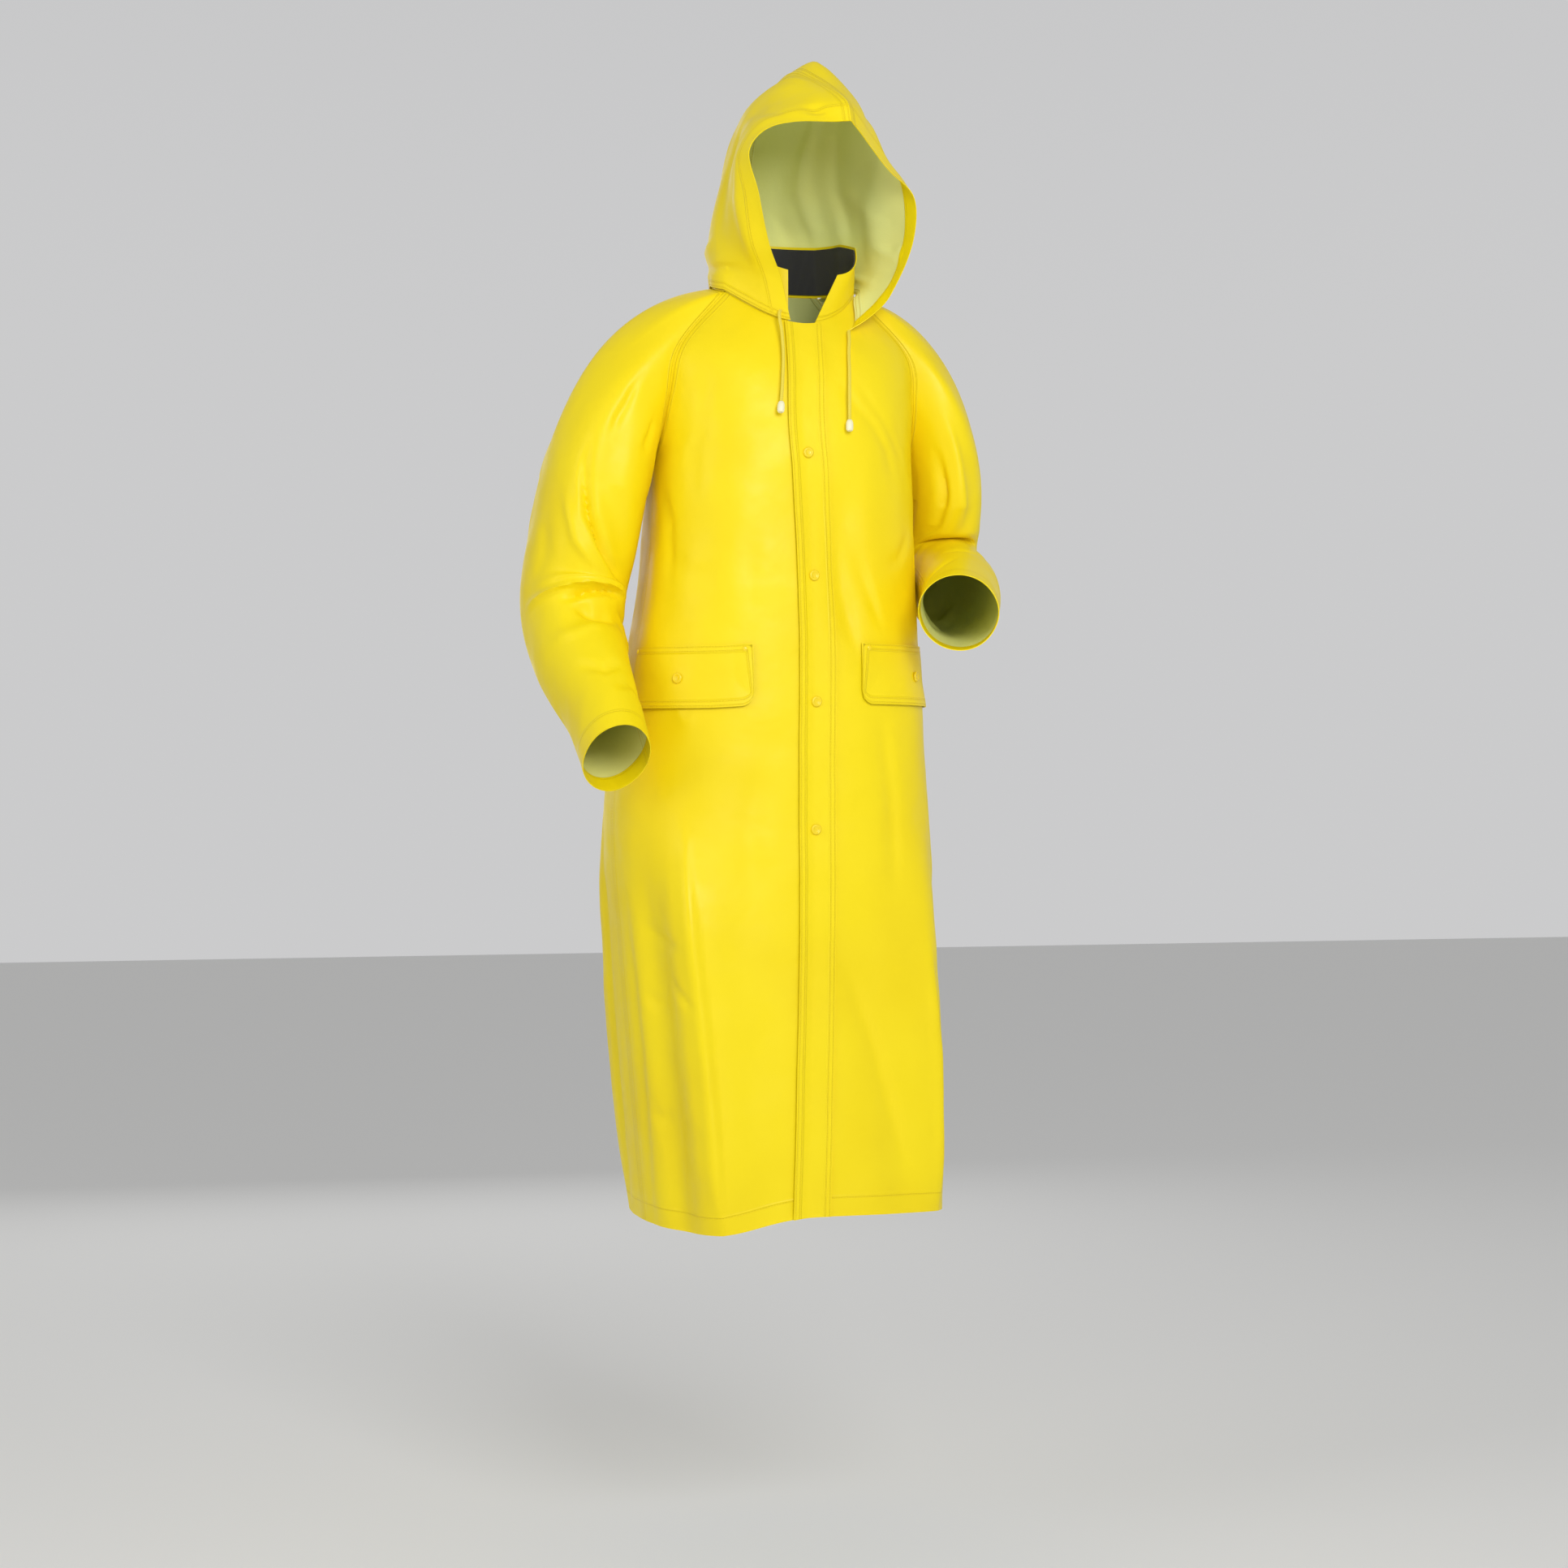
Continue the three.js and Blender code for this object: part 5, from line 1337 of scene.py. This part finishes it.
class RAINCOAT_OT_collar(bpy.types.Operator):
    """Adds the stand collar and its corduroy inner face"""

    bl_idname = "raincoat.collar"
    bl_label = "Collar"

    def execute(self, context):
        cloth, wall = cloth_of(context)
        coated = [cloth[0], cloth[0]]
        piece = add_cloth("collar_cloth", GRIDS["collar"], collar_point, coated, wall, sewn=("bottom",))
        finish_sheet(piece, "collar")

        def place_corduroy(u, v):
            share, up = mix(*CORDUROY["along"], u), mix(*CORDUROY["up"], v)
            middle = lambda p: points_of(0, COLLAR_MIDDLE_Y, p[..., 2])
            point, normal = outwards(collar_point, share, up, middle)
            return point - normal * (wall + CORDUROY["behind"])

        look = [materials_for(context)["Cotton corduroy"]]
        name, grid = "collar_corduroy_cloth", GRIDS["corduroy"]
        piece = add_cloth(name, grid, place_corduroy, look, CORDUROY["wall"])
        finish_sheet(piece, "collar_corduroy")
        return {"FINISHED"}


class RAINCOAT_OT_hood(bpy.types.Operator):
    """Adds the two halves of the hood"""

    bl_idname = "raincoat.hood"
    bl_label = "Hood"

    def execute(self, context):
        cloth, wall = cloth_of(context)
        for name, side in (("hood_right", -1), ("hood_left", 1)):

            def place(u, v, side=side):
                points, _ = hood_surface(side, u, v)
                return points

            piece = add_cloth(
                name + "_cloth",
                GRIDS["hood"],
                place,
                cloth,
                wall,
                sewn=("bottom", "top", "right"),
                hemmed=("left",),
                flip=side < 0,
            )
            finish_sheet(piece, name)
        return {"FINISHED"}


def flap_shift(z):
    """How far the storm flap's middle lies from the centre line."""
    return read(FLAP_LINE, "z", "shift", z)


def edge_lift(share, lift, reach):
    """How far a loose edge at share 0 lifts off, over the reach."""
    return lift * step(reach - share, 0, reach)


def front_lay(x, height, rise):
    """A place on the fronts at a given X, moved out, and the direction there."""
    points, normals = [], []
    for side in (-1, 1):
        across = front_across(side, x, height)
        point, normal = panel_surface(True, side, across, height)
        points.append(point)
        normals.append(normal)
    left = (x > 0)[..., None]
    normal = np.where(left, normals[1], normals[0])
    return np.where(left, points[1], points[0]) + normal * np.asarray(rise)[..., None], normal


class RAINCOAT_OT_storm_flap(bpy.types.Operator):
    """Adds the flap over the front closing"""

    bl_idname = "raincoat.storm_flap"
    bl_label = "Storm Flap"

    def execute(self, context):
        cloth, wall = cloth_of(context)

        def place(u, v):
            height = np.minimum(heights_of(v), FLAP_TOP)
            level = panel_point(True, 1, 0.0, height)[..., 2]
            x = mix(FLAP_EDGES[0], FLAP_EDGES[1], u) + flap_shift(level)
            lift = edge_lift(u, *FLAP_LIFT)
            points, _ = front_lay(x, height, LAY_GAP + wall + lift)
            return points

        grid = GRIDS["storm_flap"]
        piece = add_cloth("storm_flap_cloth", grid, place, cloth, wall, sewn=("right", "left"))
        finish_sheet(piece, "storm_flap")
        return {"FINISHED"}


def pocket_depth(along):
    """A pocket flap's height along it, with its lower corners round."""
    corner = POCKET["corner"]
    inside = np.maximum(corner - np.minimum(along, POCKET["width"] - along), 0)
    return POCKET["height"] - corner + np.sqrt(np.maximum(corner**2 - inside**2, 0))


def pocket_lay(side, along, down, rise):
    """A place on a pocket flap, mm outwards from its inner edge and mm down from its top."""
    values = np.broadcast_arrays(along, down, rise)
    along, down, rise = (np.atleast_1d(np.asarray(value, float)) for value in values)
    height = height_of_level(POCKET["top"] - down)
    start = front_across(side, np.full(height.shape, float(POCKET_X[side])), height)
    spread = np.linspace(0, 1, POCKET_SAMPLES)[None, :]
    shares = start[:, None] + (POCKET_REACH - start[:, None]) * spread
    line = panel_point(True, side, shares, np.broadcast_to(height[:, None], shares.shape))
    run = np.zeros(shares.shape)
    run[:, 1:] = np.cumsum(np.linalg.norm(np.diff(line, axis=1), axis=2), axis=1)
    across = np.array([np.interp(a, r, s) for a, r, s in zip(along, run, shares)])
    point, normal = panel_surface(True, side, across, height)
    return point + normal * rise[:, None], normal


class RAINCOAT_OT_pocket_flaps(bpy.types.Operator):
    """Adds the two pocket flaps"""

    bl_idname = "raincoat.pocket_flaps"
    bl_label = "Pocket Flaps"

    def execute(self, context):
        cloth, wall = cloth_of(context)
        for name, side in (("right", -1), ("left", 1)):

            def place(u, v, side=side):
                along = mix(POCKET_EDGE, POCKET["width"] - POCKET_EDGE, u)
                down = pocket_depth(along) * (1 - v)
                lift = np.maximum(edge_lift(v, *POCKET_LIFTS[0]), edge_lift(u, *POCKET_LIFTS[1]))
                points, _ = pocket_lay(side, along, down, LAY_GAP + wall + lift)
                return points

            piece = add_cloth(
                f"pocket_flap_{name}_cloth",
                GRIDS["pocket_flap"],
                place,
                cloth,
                wall,
                sewn=("top", "bottom", "left", "right"),
                flip=side < 0,
            )
            finish_sheet(piece, "pocket_flap_" + name)
        return {"FINISHED"}


# Profiles of the turned parts: radius and level in mm, from the axis round to it again
SNAP_PROFILE = [
    (0, 0),
    (6.0, 0),
    (6.5, 0.3),
    (6.5, 0.9),
    (6.1, 1.6),
    (5.5, 2.1),
    (4.6, 2.3),
    (3.9, 2.1),
    (3.2, 1.6),
    (2.4, 1.4),
    (0, 1.5),
]
RIVET_PROFILE = [(0, 0), (3.0, 0), (3.2, 0.3), (2.9, 0.9), (2.1, 1.35), (1.1, 1.5), (0, 1.55)]
CORD_END_PROFILE = [
    (0, 0),
    (2.3, 0),
    (2.8, -0.3),
    (3.5, -1.6),
    (4.1, -3.4),
    (4.4, -5.6),
    (4.4, -10.4),
    (4.1, -12.2),
    (3.3, -13.6),
    (2.1, -14),
    (0, -14),
]


class RAINCOAT_OT_fasteners(bpy.types.Operator):
    """Adds the snap caps on the flaps and the rivets at the pockets' corners"""

    bl_idname = "raincoat.fasteners"
    bl_label = "Snaps and Rivets"

    def execute(self, context):
        _, wall = cloth_of(context)
        look = [materials_for(context)["Enamelled snap cap"]]
        for i, level in enumerate(FLAP_SNAP_LEVELS):
            at = np.array([FLAP_SNAP_X + flap_shift(np.array(float(level)))])
            height = np.atleast_1d(snap_height(level))
            point, normal = front_lay(at, height, np.array([LAY_GAP + wall + FLAP_CAP_LIFT]))
            node = f"snap_flap_{i + 1}"
            piece = add_turned(node + "_cap", SNAP_PROFILE, FLAP_CAP_SIDES, point[0], normal[0], look)
            finish_piece(piece, node)
        for name, side in (("right", -1), ("left", 1)):
            places = {
                f"snap_pocket_{name}": (*POCKET_SNAP, SNAP_PROFILE),
                f"rivet_{name}_inner": (RIVET[0], RIVET[1], RIVET_PROFILE),
                f"rivet_{name}_outer": (POCKET["width"] - RIVET[0], RIVET[1], RIVET_PROFILE),
            }
            for node, (along, down, profile) in places.items():
                point, normal = pocket_lay(side, along, down, LAY_GAP + wall + POCKET_CAP_LIFT)
                piece = add_turned(node + "_cap", profile, POCKET_CAP_SIDES, point[0], normal[0], look)
                finish_piece(piece, node)
        return {"FINISHED"}


LEVEL_SAMPLES = 800
CORD_SAMPLES = 400


def snap_height(level):
    """The height on the front's centre at which a level lies."""
    heights = np.linspace(-1, 1, LEVEL_SAMPLES)
    levels = panel_point(True, 1, 0.0, heights)[..., 2]
    return np.interp(level, levels, heights)


def smooth_line(table, steps):
    """Even points along the curve through a table's rows."""
    points = np.array([table[name] for name in "xyz"], float).T
    keys = np.concatenate([[0], np.cumsum(np.linalg.norm(np.diff(points, axis=0), axis=1) ** 0.5)])
    fine = np.linspace(0, keys[-1], CORD_SAMPLES)
    line = np.stack([read_curve(keys, points[:, i], fine) for i in range(3)], axis=1)
    run = np.concatenate([[0], np.cumsum(np.linalg.norm(np.diff(line, axis=0), axis=1))])
    even = np.linspace(0, run[-1], steps + 1)
    return np.stack([np.interp(even, run, line[:, i]) for i in range(3)], axis=1), run[-1]


class RAINCOAT_OT_drawcords(bpy.types.Operator):
    """Adds the hood's drawcords and their moulded ends"""

    bl_idname = "raincoat.drawcords"
    bl_label = "Drawcords"

    def execute(self, context):
        looks = materials_for(context)
        diameter = context.scene.raincoat_sizes.cord
        _, steps = GRIDS["drawcord"]
        for name, table in (("right", CORD_RIGHT), ("left", CORD_LEFT)):
            line, length_mm = smooth_line(table, steps)
            run = unit(np.gradient(line, axis=0))
            first = unit(np.cross(run, (1.0, 0.0, 0.0)))
            second = np.cross(run, first)

            def place(u, v, line=line, first=first, second=second):
                i = np.rint(v * steps).astype(int)
                turn = 2 * np.pi * u
                radius = diameter / MM / 2
                away = first[i] * np.cos(turn)[:, None] + second[i] * np.sin(turn)[:, None]
                return line[i] + radius * away

            look = [looks["Braided polyester cord"]]
            piece = add_cloth(f"drawcord_{name}_braid", GRIDS["drawcord"], place, look, 0, closed=True)
            close_ends(piece.data, (math.pi * diameter, length_mm * MM))
            finish_piece(piece, "drawcord_" + name)
            end = add_turned(
                f"cord_end_{name}_cap",
                CORD_END_PROFILE,
                CORD_END_SIDES,
                line[-1] + run[-1] * CORD_END_GAP,
                -run[-1],
                [looks["Moulded nylon cord end"]],
            )
            finish_piece(end, "cord_end_" + name)
        return {"FINISHED"}


def close_ends(mesh, size):
    """Caps a tube's two ends, and scales its UV map to metres."""
    bm = bmesh.new()
    bm.from_mesh(mesh)
    uv = bm.loops.layers.uv["UVMap"]
    for face in bm.faces:
        for loop in face.loops:
            loop[uv].uv = (loop[uv].uv[0] * size[0], loop[uv].uv[1] * size[1])
    bmesh.ops.holes_fill(bm, edges=bm.edges, sides=0)
    bmesh.ops.recalc_face_normals(bm, faces=bm.faces)
    bm.to_mesh(mesh)
    bm.free()
    mesh.set_sharp_from_angle(angle=math.radians(SHARP_DEGREES["cord"]))


class RAINCOAT_OT_stage(bpy.types.Operator):
    """Adds the camera, the pale floor and the soft lights"""

    bl_idname = "raincoat.stage"
    bl_label = "Camera, Floor and Lights"

    def execute(self, context):
        scene = context.scene
        turn = math.radians(CAMERA["turn"])
        ahead = Vector((-math.sin(turn), math.cos(turn), 0))
        right = Vector((math.cos(turn), math.sin(turn), 0))
        up = Vector((0, 0, 1))
        camera = bpy.data.objects.new("Camera", bpy.data.cameras.new("Camera"))
        camera.location = -ahead * CAMERA["away"] + right * CAMERA["right"] + up * CAMERA["up"]
        camera.rotation_euler = (math.radians(90), 0, turn)
        camera.data.lens = CAMERA["lens"]
        camera.data.sensor_width = CAMERA["sensor"]
        scene.collection.objects.link(camera)
        scene.camera = camera

        bm = bmesh.new()
        bmesh.ops.create_grid(bm, x_segments=1, y_segments=1, size=FLOOR_HALF)
        bmesh.ops.translate(bm, verts=bm.verts, vec=(0, 0, scene.raincoat_sizes.floor_level))
        mesh = bpy.data.meshes.new("floor")
        bm.to_mesh(mesh)
        bm.free()
        paint, _, _ = new_material("Matt pale floor", hexed("f4f4f2"), 0.9)
        add_object("floor", mesh, [paint])

        for name, (behind, beside, above, size, power) in LAMPS.items():
            lamp = bpy.data.lights.new(name, "AREA")
            lamp.shape = "SQUARE"
            lamp.size = size
            lamp.energy = power
            light = bpy.data.objects.new(name, lamp)
            light.location = ahead * behind + right * beside + up * above
            aim = Vector(LAMP_AIM) - light.location
            light.rotation_euler = aim.to_track_quat("-Z", "Y").to_euler()
            scene.collection.objects.link(light)

        scene.view_settings.view_transform = "Standard"
        world = bpy.data.worlds.new("Studio")
        world.use_nodes = True
        # A studio's pale walls, and a dimmer ceiling that leaves the tops in shade
        tree = world.node_tree
        spot = add_node(tree, "SeparateXYZ", (add_node(tree, "TexCoord").outputs["Generated"],))
        sky = tree.nodes["Background"]
        sky.inputs["Color"].default_value = hexed("fbfbfc")
        glow = add_node(tree, "MapRange", (spot.outputs[2], 0.1, 0.8, 0.62, 0.42), **SMOOTH)
        tree.links.new(glow.outputs[0], sky.inputs["Strength"])
        scene.world = world
        return {"FINISHED"}


OPERATORS = (
    RAINCOAT_OT_stage,
    RAINCOAT_OT_drawcords,
    RAINCOAT_OT_body,
    RAINCOAT_OT_sleeves,
    RAINCOAT_OT_collar,
    RAINCOAT_OT_hood,
    RAINCOAT_OT_storm_flap,
    RAINCOAT_OT_pocket_flaps,
    RAINCOAT_OT_fasteners,
)


class RAINCOAT_PT_panel(bpy.types.Panel):
    """The raincoat's sizes, colours and pieces"""

    bl_idname = "RAINCOAT_PT_panel"
    bl_label = "Hooded Raincoat"
    bl_space_type = "VIEW_3D"
    bl_region_type = "UI"
    bl_category = "Raincoat"

    def draw(self, context):
        for group in (context.scene.raincoat_sizes, context.scene.raincoat_colours):
            for name in group.__annotations__:
                self.layout.prop(group, name)
        for operator in OPERATORS:
            self.layout.operator(operator.bl_idname)


CLASSES = (RaincoatSizes, RaincoatColours, *OPERATORS, RAINCOAT_PT_panel)


def register():
    for cls in CLASSES:
        bpy.utils.register_class(cls)
    bpy.types.Scene.raincoat_sizes = PointerProperty(type=RaincoatSizes)
    bpy.types.Scene.raincoat_colours = PointerProperty(type=RaincoatColours)


def unregister():
    del bpy.types.Scene.raincoat_colours
    del bpy.types.Scene.raincoat_sizes
    for cls in reversed(CLASSES):
        bpy.utils.unregister_class(cls)


def main():
    """Builds the coat and its stage."""
    register()
    bpy.ops.raincoat.stage()
    bpy.ops.raincoat.drawcords()
    bpy.ops.raincoat.body()
    bpy.ops.raincoat.sleeves()
    bpy.ops.raincoat.collar()
    bpy.ops.raincoat.hood()
    bpy.ops.raincoat.storm_flap()
    bpy.ops.raincoat.pocket_flaps()
    bpy.ops.raincoat.fasteners()


if __name__ == "__main__":
    main()
